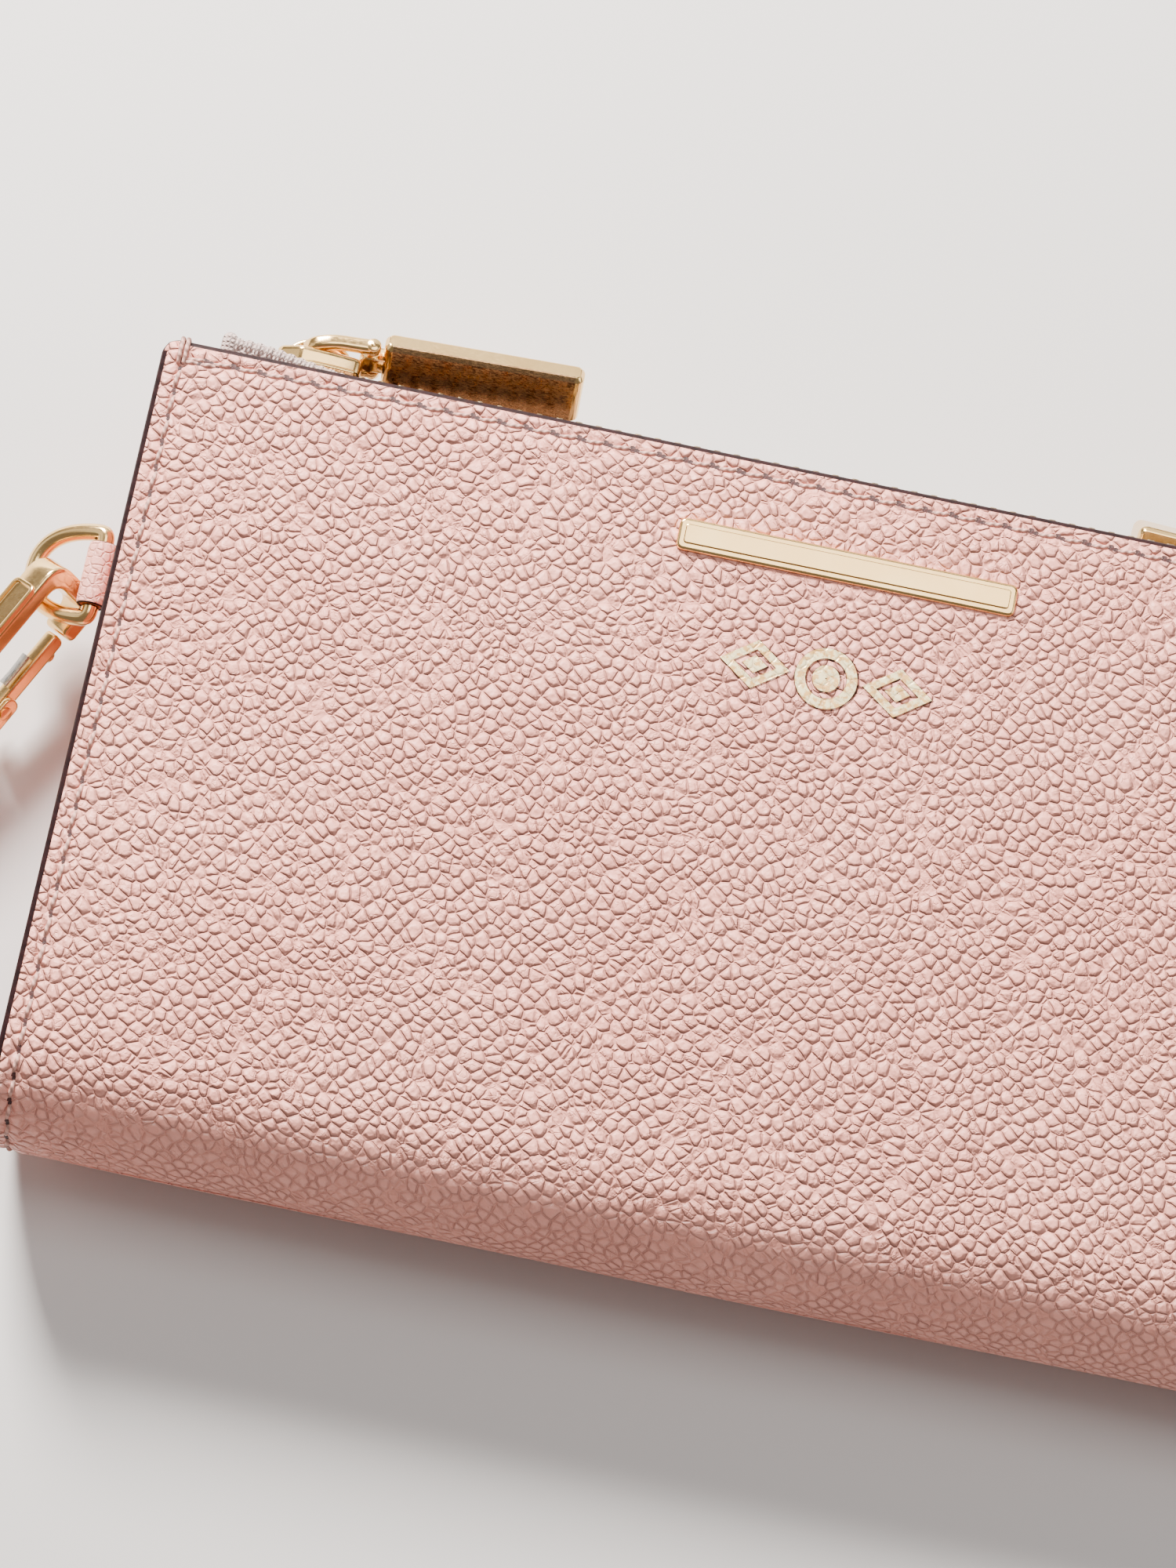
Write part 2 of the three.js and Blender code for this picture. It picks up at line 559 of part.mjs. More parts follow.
// ---- wrist strap ---------------------------------------------------------------------------
// Drawn with s running away from the swivel ring's outer bar and t across.
const strapEnd = new THREE.Vector3(SWIVEL.start + SWIVEL.length - SWIVEL.wire / 2, 0, 0);
swivelGroup.updateMatrixWorld(true);
const strapHinge = strapEnd.applyMatrix4(swivelGroup.matrixWorld);
const NECK = (STRAP.thick + 0.1) / 2;
const NECK_END = 20;
const WRAP = 3.4;            // centre line of the strap round the ring's bar
const LOOP_HALF = 34;
const LOOP_FAR = 122;

const strapPath = new THREE.CatmullRomCurve3([
  [NECK_END, NECK], [9, NECK], [5.2, 1.9], [2.2, WRAP - 0.3], [-1.4, WRAP - 0.4], [-WRAP, 0],
  [-1.4, -WRAP + 0.4], [2.2, -WRAP + 0.3], [5.2, -1.9], [9, -NECK], [NECK_END, -NECK],
  [24, -NECK - 0.1], [40, -7], [60, -24], [85, -LOOP_HALF], [108, -LOOP_HALF + 7], [LOOP_FAR, 0],
  [108, LOOP_HALF - 7], [85, LOOP_HALF], [60, 24], [40, 7], [24, NECK + 0.1],
  [NECK_END + 0.8, NECK],
].map(([s, t]) => new THREE.Vector3(s, t, 0)), false, 'centripetal');

const strapGroup = new THREE.Group();
const strapHeading = deg(STRAP.heading);
const lean = Math.asin((strapHinge.z - STRAP.width / 2 - 0.1) / (LOOP_FAR + STRAP.thick));
const outwards = new THREE.Vector3(
  -Math.sin(strapHeading) * Math.cos(lean), -Math.cos(strapHeading) * Math.cos(lean),
  -Math.sin(lean));
const across = new THREE.Vector3(Math.cos(strapHeading), -Math.sin(strapHeading), 0);
strapGroup.quaternion.setFromRotationMatrix(new THREE.Matrix4().makeBasis(
  outwards, across, new THREE.Vector3().crossVectors(outwards, across)));
strapGroup.position.copy(strapHinge);
wallet.add(strapGroup);

const RIVET_S = 13;
const rivetBore = cylinderAlong('y', 1.3, -6, 6, [RIVET_S, 0], 12);
place('wrist_strap', cut(stripAlong(strapPath, 110, STRAP.thick, STRAP.width), rivetBore),
  leather, strapGroup);
const rivetHalf = STRAP.thick + 0.05;
place('strap_rivet', join(
  cylinderAlong('y', 1.0, -rivetHalf - 0.6, rivetHalf + 0.6, [RIVET_S, 0], 12),
  cylinderAlong('y', 2.4, -rivetHalf - 1.0, -rivetHalf - 0.3, [RIVET_S, 0], 16),
  cylinderAlong('y', 2.4, rivetHalf + 0.3, rivetHalf + 1.0, [RIVET_S, 0], 16)), gold, strapGroup);

export default wallet;
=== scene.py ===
"""Looks of the wristlet wallet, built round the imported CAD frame.

Shapes are worked out in millimetres in the frame's axes and turned into metres when a mesh is made.
"""
import json
import math

import bmesh
import bpy
import numpy as np
from mathutils import Matrix, Vector


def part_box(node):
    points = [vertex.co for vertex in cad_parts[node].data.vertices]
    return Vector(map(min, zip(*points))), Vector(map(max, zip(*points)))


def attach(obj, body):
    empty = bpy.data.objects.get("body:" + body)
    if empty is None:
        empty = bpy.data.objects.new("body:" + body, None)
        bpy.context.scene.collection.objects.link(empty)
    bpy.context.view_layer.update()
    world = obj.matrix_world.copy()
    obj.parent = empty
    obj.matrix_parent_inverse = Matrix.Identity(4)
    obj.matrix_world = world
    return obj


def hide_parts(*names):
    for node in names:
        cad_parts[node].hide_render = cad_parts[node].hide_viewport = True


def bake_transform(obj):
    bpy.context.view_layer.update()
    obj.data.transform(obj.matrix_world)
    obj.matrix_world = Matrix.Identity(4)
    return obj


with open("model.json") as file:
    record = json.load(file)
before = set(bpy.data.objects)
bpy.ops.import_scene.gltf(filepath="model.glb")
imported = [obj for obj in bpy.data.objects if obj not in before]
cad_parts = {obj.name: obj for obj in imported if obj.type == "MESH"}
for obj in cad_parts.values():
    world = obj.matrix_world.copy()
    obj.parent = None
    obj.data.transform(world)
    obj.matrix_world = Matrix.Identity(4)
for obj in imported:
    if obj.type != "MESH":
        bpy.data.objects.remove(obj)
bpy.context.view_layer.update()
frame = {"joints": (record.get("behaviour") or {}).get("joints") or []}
MM = 0.001


# ---- places taken from the frame ---------------------------------------------------
def corners(node):
    low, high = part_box(node)
    return np.array(low) / MM, np.array(high) / MM


def joint(name):
    return next(j for j in frame["joints"] if j["name"] == name)


def joint_place(name):
    return np.array(joint(name)["pos_m"], float) / MM


def joint_axis(name):
    axis = np.array(joint(name)["axis"], float)
    return axis / np.linalg.norm(axis)


panel_low, panel_high = corners("front_leather")
LEFT, RIGHT = panel_low[0], panel_high[0]
TOP, DEPTH = panel_high[1], panel_high[2]
MID_Z = DEPTH / 2
FOLD_R = DEPTH / 2
FOLD_Y = corners("bottom_fold")[0][1] + FOLD_R
BOARD_GAP = 0.3
LEATHER = corners("back_stiffener")[0][2] - BOARD_GAP
FLAT = TOP - FOLD_Y
HALF_WRAP = FLAT + math.pi / 2 * FOLD_R
HALF = (RIGHT - LEFT) / 2


# ---- camera and lights ---------------------------------------------------------------
CAMERA_TARGET = (-0.0262, 0.0055, 0.025)
CAMERA_DISTANCE = 0.5
CAMERA_LENS = 93.7
CAMERA_LEAN = (0.4, 14.1)
CAMERA_SPIN = 11.2


def aim(obj, target, up):
    """Point obj's -Z at target with its Y towards up."""
    back = (obj.location - Vector(target)).normalized()
    side = Vector(up).cross(back).normalized()
    turn = Matrix((side, back.cross(side), back)).transposed()
    obj.rotation_mode = "QUATERNION"
    obj.rotation_quaternion = turn.to_quaternion()


def make_camera():
    data = bpy.data.cameras.new("camera")
    data.sensor_width = 36
    data.lens = CAMERA_LENS
    data.clip_start = 0.01
    camera = bpy.data.objects.new("camera", data)
    bpy.context.scene.collection.objects.link(camera)
    lean_x, lean_y = (math.tan(math.radians(a)) for a in CAMERA_LEAN)
    direction = Vector((-lean_x, -lean_y, 1)).normalized()
    camera.location = Vector(CAMERA_TARGET) + direction * CAMERA_DISTANCE
    spin = math.radians(CAMERA_SPIN)
    aim(camera, CAMERA_TARGET, (-math.sin(spin), math.cos(spin), 0))
    bpy.context.scene.camera = camera


make_camera()


def area_light(name, place, size, power, colour):
    data = bpy.data.lights.new(name, "AREA")
    data.shape = "RECTANGLE"
    data.size, data.size_y = size
    data.energy = power
    data.color = colour
    light = bpy.data.objects.new(name, data)
    bpy.context.scene.collection.objects.link(light)
    light.location = place
    aim(light, (0, 0, 0), (0, 0, 1))


area_light("key_light", (-0.36, 0.62, 0.46), (0.20, 0.20), 32.0, (1.0, 0.95, 0.90))
area_light("top_light", (0.06, 0.33, 1.10), (0.62, 0.50), 4.2, (1.0, 0.98, 0.95))
area_light("back_panel", (0.05, 0.95, 0.42), (1.3, 0.5), 2.8, (1.0, 0.97, 0.92))
area_light("left_panel", (-0.85, 0.05, 0.45), (0.7, 0.6), 1.2, (1.0, 0.97, 0.92))
area_light("side_light", (0.8, 0.1, 0.5), (0.5, 0.5), 2.0, (0.97, 0.98, 1.0))


# ---- materials -------------------------------------------------------------------------
PEBBLE_SCALE = 0.71
GRAIN_TURN = -0.68
PINK = (0.93, 0.405, 0.325, 1.0)
TAPE_RIB = 1.1
TAPE_LOOP = 0.75


class Shading:
    """One material's node tree, with short calls for the nodes it needs."""

    def __init__(self, name):
        self.material = bpy.data.materials.new(name)
        self.material.use_nodes = True
        self.tree = self.material.node_tree
        self.shader = self.tree.nodes["Principled BSDF"]

    def put(self, socket, value):
        if isinstance(value, bpy.types.NodeSocket):
            self.tree.links.new(value, socket)
        else:
            socket.default_value = value

    def node(self, kind, inputs, **settings):
        made = self.tree.nodes.new("ShaderNode" + kind)
        for key, value in settings.items():
            setattr(made, key, value)
        for key, value in inputs.items():
            self.put(made.inputs[key], value)
        return made

    def math(self, operation, a, b=0.0, c=0.0):
        return self.node("Math", {0: a, 1: b, 2: c}, operation=operation).outputs[0]

    def grain_place(self):
        """The place on the flat hide, in millimetres, kept on each vertex."""
        return self.node("Attribute", {}, attribute_name="hide").outputs["Vector"]

    def object_place(self):
        return self.node("TexCoord", {}).outputs["Object"]

    def noise(self, place, scale, detail=2.0, roughness=0.5):
        inputs = {"Vector": place, "Scale": scale, "Detail": detail, "Roughness": roughness}
        return self.node("TexNoise", inputs)

    def voronoi(self, place, scale, feature, randomness=0.9):
        inputs = {"Vector": place, "Scale": scale, "Randomness": randomness}
        return self.node("TexVoronoi", inputs, feature=feature)

    def ramp(self, value, low, high, to_low=0.0, to_high=1.0):
        inputs = {"Value": value, "From Min": low, "From Max": high, "To Min": to_low, "To Max": to_high}
        return self.node("MapRange", inputs, interpolation_type="SMOOTHSTEP").outputs["Result"]

    def mix(self, share, a, b):
        made = self.tree.nodes.new("ShaderNodeMix")
        made.data_type = "RGBA"
        for socket, value in zip((made.inputs[0], made.inputs[6], made.inputs[7]), (share, a, b)):
            self.put(socket, value)
        return made.outputs[2]

    def warped(self, place, scale, amount):
        shift = self.node("VectorMath", {0: self.noise(place, scale).outputs["Color"], 1: (0.5, 0.5, 0.5)},
                          operation="SUBTRACT").outputs[0]
        return self.node("VectorMath", {0: shift, 1: (amount, amount, amount), 2: place},
                         operation="MULTIPLY_ADD").outputs[0]

    def bump(self, height, distance, strength=1.0):
        made = self.node("Bump", {"Height": height, "Distance": distance, "Strength": strength})
        self.put(self.shader.inputs["Normal"], made.outputs["Normal"])

    def set(self, **values):
        for key, value in values.items():
            self.put(self.shader.inputs[key.replace("_", " ")], value)


def tone(r, g, b):
    """An sRGB colour, 0 to 255, as linear RGBA."""
    def linear(c):
        c /= 255
        return c / 12.92 if c <= 0.04045 else ((c + 0.055) / 1.055) ** 2.4
    return tuple(linear(c) for c in (r, g, b)) + (1.0,)


def tinted(colour, r, g=None, b=None):
    """A colour with its channels multiplied by r, g and b, or all by r."""
    factors = (r, r if g is None else g, r if b is None else b)
    return tuple(c * k for c, k in zip(colour[:3], factors)) + (1.0,)


def pebbled_height(s, place):
    """Height of a pebbled hide: low rounded cells, narrow grooves, a few finer wrinkles."""
    flow = s.warped(place, 0.07, 3.0)
    bent = s.warped(flow, 0.8, 0.36)
    turned = s.node("Mapping", {"Vector": bent, "Rotation": (0, 0, GRAIN_TURN)}).outputs["Vector"]
    cells = s.node("Mapping", {"Vector": turned, "Scale": (0.88, 1.05, 1.0)}).outputs["Vector"]
    edge = s.voronoi(cells, PEBBLE_SCALE, "DISTANCE_TO_EDGE", 0.66).outputs["Distance"]
    nearest = s.voronoi(cells, PEBBLE_SCALE, "F1", 0.66)
    top = s.ramp(edge, 0.0, 0.13)
    depth = s.ramp(s.noise(place, 0.42, 2.0).outputs["Fac"], 0.36, 0.60, 0.30, 0.76)
    dome = s.ramp(edge, 0.0, 0.34, 0.0, 0.42)
    corner = s.ramp(nearest.outputs["Distance"], 0.36, 0.74, 0.0, -0.72)
    own = s.node("SeparateColor", {"Color": nearest.outputs["Color"]}).outputs[0]
    height = s.math("ADD", s.math("MULTIPLY_ADD", top, depth, dome), corner)
    height = s.math("MULTIPLY_ADD", s.math("MULTIPLY", own, top), 0.22, height)
    wrinkle_edge = s.voronoi(bent, PEBBLE_SCALE * 2.0, "DISTANCE_TO_EDGE").outputs["Distance"]
    wrinkle = s.ramp(wrinkle_edge, 0.0, 0.12, -0.22, 0.0)
    where = s.ramp(s.noise(place, 0.45).outputs["Fac"], 0.50, 0.64)
    height = s.math("MULTIPLY_ADD", wrinkle, where, height)
    pores = s.noise(place, 2.8, 4.0, 0.7).outputs["Fac"]
    return s.math("MULTIPLY_ADD", pores, 0.20, height), top


def pebbled_leather(name, colour=PINK):
    s = Shading(name)
    place = s.grain_place()
    height, top = pebbled_height(s, place)
    drift = s.ramp(s.noise(place, 0.03, 2.0).outputs["Fac"], 0.35, 0.65)
    face = s.mix(drift, tinted(colour, 0.97, 0.93, 0.92), tinted(colour, 1.05))
    # The grooves between pebbles are a little darker and redder than the tops: painted shade. drift is tone
    # that differs at random.
    s.set(Base_Color=s.mix(top, tinted(colour, 0.96, 0.90, 0.88), face),
          Roughness=s.ramp(top, 0.0, 1.0, 0.62, 0.43),
          Specular_IOR_Level=0.42)
    s.bump(height, 0.00031)
    return s.material


def foil_stamp(name):
    """Gold foil pressed into the pebbled leather, broken where the grain dips or it has rubbed off."""
    s = Shading(name)
    place = s.grain_place()
    height, top = pebbled_height(s, place)
    rubbed = s.ramp(s.noise(place, 1.6, 4.0, 0.7).outputs["Fac"], 0.26, 0.31)
    kept = s.math("MULTIPLY", s.ramp(top, 0.0, 0.12, 0.72, 1.0), rubbed)
    patches = s.ramp(s.noise(place, 1.1, 3.0, 0.65).outputs["Fac"], 0.42, 0.56)
    leaf_gold = s.mix(patches, (0.76, 0.43, 0.14, 1.0), (1.0, 0.84, 0.46, 1.0))
    s.set(Base_Color=s.mix(kept, PINK, leaf_gold),
          Metallic=s.ramp(kept, 0.4, 1.0, 0.0, 0.35),
          Roughness=s.ramp(kept, 0.0, 1.0, 0.5, 0.34))
    s.bump(height, 0.00004)
    return s.material


def smooth_leather(name, colour):
    """Fine-grained leather for the tab, the pockets and the strap."""
    s = Shading(name)
    place = s.grain_place()
    edge = s.voronoi(s.warped(place, 0.6, 0.7), 0.95, "DISTANCE_TO_EDGE").outputs["Distance"]
    crease = s.ramp(edge, 0.0, 0.16)
    drift = s.ramp(s.noise(place, 0.12, 3.0).outputs["Fac"], 0.3, 0.7)
    # Darker in the creases between cells: painted shade. Where drift is low it is darker too, as tone that
    # differs at random.
    s.set(Base_Color=s.mix(s.math("MULTIPLY", crease, drift), tinted(colour, 0.88), colour),
          Roughness=s.ramp(drift, 0.0, 1.0, 0.5, 0.4),
          Specular_IOR_Level=0.45)
    s.bump(s.math("MULTIPLY_ADD", s.noise(place, 6.0, 3.0).outputs["Fac"], 0.5, crease), 0.00011)
    return s.material


def painted_edge(name):
    s = Shading(name)
    place = s.object_place()
    lumps = s.noise(place, 900.0, 2.0).outputs["Fac"]
    s.set(Base_Color=s.mix(s.ramp(lumps, 0.3, 0.7), tone(24, 8, 10), tone(38, 14, 16)),
          Roughness=s.ramp(lumps, 0.2, 0.8, 0.45, 0.58), Specular_IOR_Level=0.14)
    s.bump(lumps, 0.00008)
    return s.material


def gold(name, colour, scratch=0.25):
    """Pale gold plating: polished, with faint polishing waves, hairlines and dust."""
    s = Shading(name)
    place = s.object_place()
    waves = s.noise(place, 140.0, 1.0).outputs["Fac"]
    stretched = s.node("Mapping", {"Vector": place, "Scale": (1.0, 6.0, 2.0)}).outputs["Vector"]
    hair = s.noise(stretched, 1800.0, 3.0, 0.6).outputs["Fac"]
    s.set(Base_Color=s.mix(s.ramp(waves, 0.35, 0.65), tinted(colour, 0.96, 0.92, 0.86), colour),
          Metallic=1.0,
          Roughness=s.ramp(hair, 0.35, 0.75, 0.15, 0.15 + scratch * 0.4))
    s.bump(s.math("MULTIPLY_ADD", waves, 0.6, s.math("MULTIPLY", hair, 0.03)), 0.00005, 0.6)
    return s.material


def knitted_tape(name, colour):
    """Coarse knit of the zip tape: columns of slanted stitches, darker in the gaps between them as painted
    shade.
    """
    s = Shading(name)
    place = s.grain_place()
    parts = s.node("SeparateXYZ", {"Vector": s.warped(place, 0.9, 0.25)})
    along, across = parts.outputs["X"], parts.outputs["Y"]
    column = s.math("SINE", s.math("MULTIPLY", across, math.tau / TAPE_RIB))
    slant = s.math("MULTIPLY_ADD", s.math("ABSOLUTE", column), 0.35, along)
    loops = s.math("SINE", s.math("MULTIPLY", slant, math.tau / TAPE_LOOP))
    height = s.math("MULTIPLY_ADD", s.math("ABSOLUTE", column), 1.0, s.math("MULTIPLY", loops, 0.45))
    fuzz = s.noise(place, 7.0, 3.0, 0.7).outputs["Fac"]
    # shade darkens the low places of the knit: painted shade.
    shade = s.ramp(height, -0.1, 1.1)
    s.set(Base_Color=s.mix(shade, tinted(colour, 0.62, 0.55, 0.55), colour),
          Roughness=0.88, Sheen_Weight=0.25, Sheen_Roughness=0.5)
    s.bump(s.math("MULTIPLY_ADD", fuzz, 0.35, height), 0.00022)
    return s.material


def twill(name, colour):
    s = Shading(name)
    place = s.grain_place()
    parts = s.node("SeparateXYZ", {"Vector": place})
    diagonal = s.math("ADD", parts.outputs["X"], parts.outputs["Y"])
    rib = s.math("SINE", s.math("MULTIPLY", diagonal, 11.0))
    yarn = s.math("SINE", s.math("MULTIPLY", parts.outputs["X"], 24.0))
    height = s.math("MULTIPLY_ADD", yarn, 0.4, rib)
    drift = s.noise(place, 0.08, 3.0).outputs["Fac"]
    # The troughs between the ribs are darker: painted shade, with a little tone that differs at random from
    # drift.
    shade = s.math("MULTIPLY_ADD", drift, 0.3, s.ramp(height, -1.3, 1.3, 0.1, 0.8))
    s.set(Base_Color=s.mix(shade, tinted(colour, 0.7), colour), Roughness=0.8, Sheen_Weight=0.2)
    s.bump(height, 0.00006)
    return s.material


def pressed_board(name, colour):
    s = Shading(name)
    place = s.grain_place()
    fibres = s.noise(place, 1.3, 6.0, 0.75).outputs["Fac"]
    flecks = s.ramp(s.noise(place, 4.0, 2.0).outputs["Fac"], 0.58, 0.68)
    speckled = s.mix(s.ramp(fibres, 0.3, 0.7), tinted(colour, 0.72), colour)
    s.set(Base_Color=s.mix(flecks, speckled, tinted(colour, 0.5)), Roughness=0.9)
    s.bump(fibres, 0.0001)
    return s.material


def twisted_thread(name, colour):
    """Bonded thread, its plies in spirals: hide X runs round it and Y along it."""
    s = Shading(name)
    parts = s.node("SeparateXYZ", {"Vector": s.grain_place()})
    turn = s.math("MULTIPLY_ADD", parts.outputs["Y"], math.tau / 0.9, parts.outputs["X"])
    ply = s.math("SINE", turn)
    fuzz = s.noise(s.object_place(), 6000.0, 2.0).outputs["Fac"]
    # Darker between the plies: painted shade.
    s.set(Base_Color=s.mix(s.ramp(ply, -1.0, 0.4), tinted(colour, 0.6), colour), Roughness=0.62)
    s.bump(s.math("MULTIPLY_ADD", fuzz, 0.3, ply), 0.00006)
    return s.material


def brushed_steel(name):
    s = Shading(name)
    lines = s.node("Mapping", {"Vector": s.object_place(), "Scale": (1.0, 1.0, 12.0)}).outputs["Vector"]
    streaks = s.noise(lines, 1500.0, 3.0).outputs["Fac"]
    s.set(Base_Color=s.mix(streaks, (0.40, 0.39, 0.37, 1.0), (0.62, 0.61, 0.58, 1.0)),
          Metallic=1.0, Roughness=s.ramp(streaks, 0.3, 0.7, 0.22, 0.38))
    s.bump(streaks, 0.00002)
    return s.material


PANEL = pebbled_leather("panel_leather")
FOIL = foil_stamp("foil_stamp")
# Near-black copy of the pebbled leather for the line round the foil shapes: painted shadow.
PRESS_SHADOW_PAINT = pebbled_leather("painted_press_shadow", (0.15, 0.05, 0.03, 1.0))
SMOOTH = smooth_leather("smooth_leather", (0.88, 0.39, 0.32, 1.0))
EDGE = painted_edge("edge_paint")
GOLD = gold("gold_metal", (0.93, 0.63, 0.27, 1.0))
# Dark brown copy of the gold for the pull plate's back face: painted shade and painted reflection of the
# zip.
PLATE_BACK_SHADE = gold("plate_back_painted_shade", (0.52, 0.31, 0.15, 1.0), 0.9)
TEETH = gold("zip_teeth", (0.46, 0.34, 0.20, 1.0), 0.9)
TAPE = knitted_tape("zip_tape", tone(212, 188, 180))
LINING = twill("lining", tone(176, 134, 126))
BOARD = pressed_board("board", tone(160, 140, 118))
THREAD = twisted_thread("thread", tone(216, 164, 150))
# Dark thread colour for the small discs over the needle holes: painted shadow in the holes.
HOLE_SHADOW_PAINT = twisted_thread("painted_hole_shadow", tone(70, 30, 28))
STEEL = brushed_steel("spring_steel")


# ---- floor and world -------------------------------------------------------------------
FLOOR_Z = -0.0005
FLOOR_HALF = 3.0


def pale_floor():
    s = Shading("floor")
    mottle = s.noise(s.object_place(), 3.0, 3.0).outputs["Fac"]
    s.set(Base_Color=s.mix(mottle, (0.70, 0.68, 0.67, 1.0), (0.74, 0.72, 0.71, 1.0)), Roughness=0.75)
    mesh = bpy.data.meshes.new("floor")
    grid = bmesh.new()
    bmesh.ops.create_grid(grid, x_segments=2, y_segments=2, size=FLOOR_HALF)
    grid.to_mesh(mesh)
    grid.free()
    floor = bpy.data.objects.new("floor", mesh)
    floor.location.z = FLOOR_Z
    mesh.materials.append(s.material)
    bpy.context.scene.collection.objects.link(floor)


pale_floor()
world = bpy.data.worlds.new("studio")
bpy.context.scene.world = world
world.use_nodes = True
world.node_tree.nodes["Background"].inputs["Color"].default_value = (0.88, 0.82, 0.79, 1.0)
world.node_tree.nodes["Background"].inputs["Strength"].default_value = 0.26


# ---- mesh helpers ------------------------------------------------------------------------
RIM_STEPS = 5
CAP_RING = 0.05


class Piece:
    """Vertices in millimetres, faces, a material number for each face and the hide place of each vertex."""

    def __init__(self):
        self.verts, self.faces, self.slots, self.hide = [], [], [], []

    def add(self, verts, faces, slot=0, hide=None):
        first = len(self.verts)
        verts = np.asarray(verts, float).reshape(-1, 3)
        self.verts.extend(verts)
        self.hide.extend(verts if hide is None else np.asarray(hide, float).reshape(-1, 3))
        slots = slot if hasattr(slot, "__len__") else [slot] * len(faces)
        self.slots.extend(slots)
        self.faces.extend(tuple(first + i for i in f) for f in faces)

    def make(self, name, materials, slot_name, turn=None, sharp=50):
        verts = np.array(self.verts) if turn is None else moved(turn, self.verts)
        mesh = bpy.data.meshes.new(name)
        mesh.from_pydata((verts * MM).tolist(), [], self.faces)
        for material in materials:
            mesh.materials.append(material)
        mesh.polygons.foreach_set("material_index", self.slots)
        mesh.polygons.foreach_set("use_smooth", [True] * len(self.faces))
        attribute = mesh.attributes.new("hide", "FLOAT_VECTOR", "POINT")
        attribute.data.foreach_set("vector", np.array(self.hide, np.float32).ravel())
        shape = bmesh.new()
        shape.from_mesh(mesh)
        bmesh.ops.recalc_face_normals(shape, faces=shape.faces)
        shape.to_mesh(mesh)
        shape.free()
        mesh.set_sharp_from_angle(angle=math.radians(sharp))
        mesh.update()
        obj = bpy.data.objects.new(name, mesh)
        bpy.context.scene.collection.objects.link(obj)
        return obj


def unit(vectors):
    """The vectors along the last axis, each made one long."""
    return vectors / np.maximum(np.linalg.norm(vectors, axis=-1), 1e-9)[..., None]


def run_along(points):
    """Distance along a line, or along each column of a grid, to each of its points."""
    steps = np.linalg.norm(np.diff(points, axis=0), axis=-1)
    return np.concatenate([np.zeros_like(steps[:1]), np.cumsum(steps, axis=0)])


def flat_normals(line):
    """Unit normals of a line drawn in a plane, to its right."""
    tangent = unit(np.gradient(line, axis=0))
    return np.stack([tangent[:, 1], -tangent[:, 0]], 1)


def hide_places(x, y, depth=0.0):
    """Places on the flat hide for a grid. depth keeps one piece's grain apart from another's."""
    return np.stack(np.broadcast_arrays(x, y, depth), -1)


def grid_faces(rows, cols, around=False):
    faces = []
    for r in range(rows - 1):
        for c in range(cols if around else cols - 1):
            n = (c + 1) % cols
            faces.append((r * cols + c, r * cols + n, (r + 1) * cols + n, (r + 1) * cols + c))
    return faces


def rim_of(rows, cols):
    """Row and column of each border point of a grid, once round."""
    top = [(0, c) for c in range(cols)]
    right = [(r, cols - 1) for r in range(1, rows)]
    bottom = [(rows - 1, c) for c in range(cols - 2, -1, -1)]
    left = [(r, 0) for r in range(rows - 2, 0, -1)]
    return top + right + bottom + left


def add_closed_sheet(piece, outer, inner, hide, bulge, plain_row=None, edge_slot=1, wrap=None):
    """A closed sheet between two grids, its border rounded outwards by bulge and painted.

    plain_row is a row whose border is neither rounded nor painted. wrap marks the outer faces that
    the paint runs on to.
    """
    rows, cols = outer.shape[:2]
    first = grid_faces(rows, cols)
    second = [tuple(reversed([i + rows * cols for i in f])) for f in first]
    slots = [0] * (2 * len(first))
    if wrap is not None:
        for k, face in enumerate(first):
            if wrap.reshape(-1)[list(face)].all():
                slots[k] = edge_slot
    rim = rim_of(rows, cols)
    points = [outer.reshape(-1, 3), inner.reshape(-1, 3)]
    hides = [hide.reshape(-1, 3), hide.reshape(-1, 3)]
    starts = [[r * cols + c for r, c in rim]]
    away = unit(np.array([outer[r, c] - outer[min(max(r, 1), rows - 2), min(max(c, 1), cols - 2)]
                          for r, c in rim]))
    plain = np.array([r == plain_row for r, c in rim])
    a = np.array([outer[r, c] for r, c in rim])
    b = np.array([inner[r, c] for r, c in rim])
    total = 2 * rows * cols
    for k in range(1, RIM_STEPS):
        t = k / RIM_STEPS
        out = bulge * math.sin(math.pi * t) ** 0.7
        points.append(a * (1 - t) + b * t + away * (out * ~plain)[:, None])
        hides.append(np.array([hide[r, c] for r, c in rim]))
        starts.append(list(range(total, total + len(rim))))
        total += len(rim)
    starts.append([rows * cols + r * cols + c for r, c in rim])
    faces = first + second
    for near, far in zip(starts, starts[1:]):
        for k in range(len(rim)):
            n = (k + 1) % len(rim)
            faces.append((near[n], near[k], far[k], far[n]))
            slots.append(0 if plain[k] and plain[n] else edge_slot)
    piece.add(np.concatenate(points), faces, slots, np.concatenate(hides))


def normals_along(path, closed, side):
    """Two unit normals at each point of a path, the first towards side if given."""
    path = np.asarray(path, float)
    if closed:
        tangent = np.roll(path, -1, 0) - np.roll(path, 1, 0)
    else:
        tangent = np.gradient(path, axis=0)
    tangent = unit(tangent)
    normal = np.array(side if side is not None else np.eye(3)[np.argmin(np.abs(tangent[0]))], float)
    normals = []
    for t in tangent:
        if side is not None:
            normal = np.array(side, float)
        normal = normal - t * (normal @ t)
        normal /= np.linalg.norm(normal)
        normals.append(normal)
    normals = np.array(normals)
    return normals, np.cross(tangent, normals)


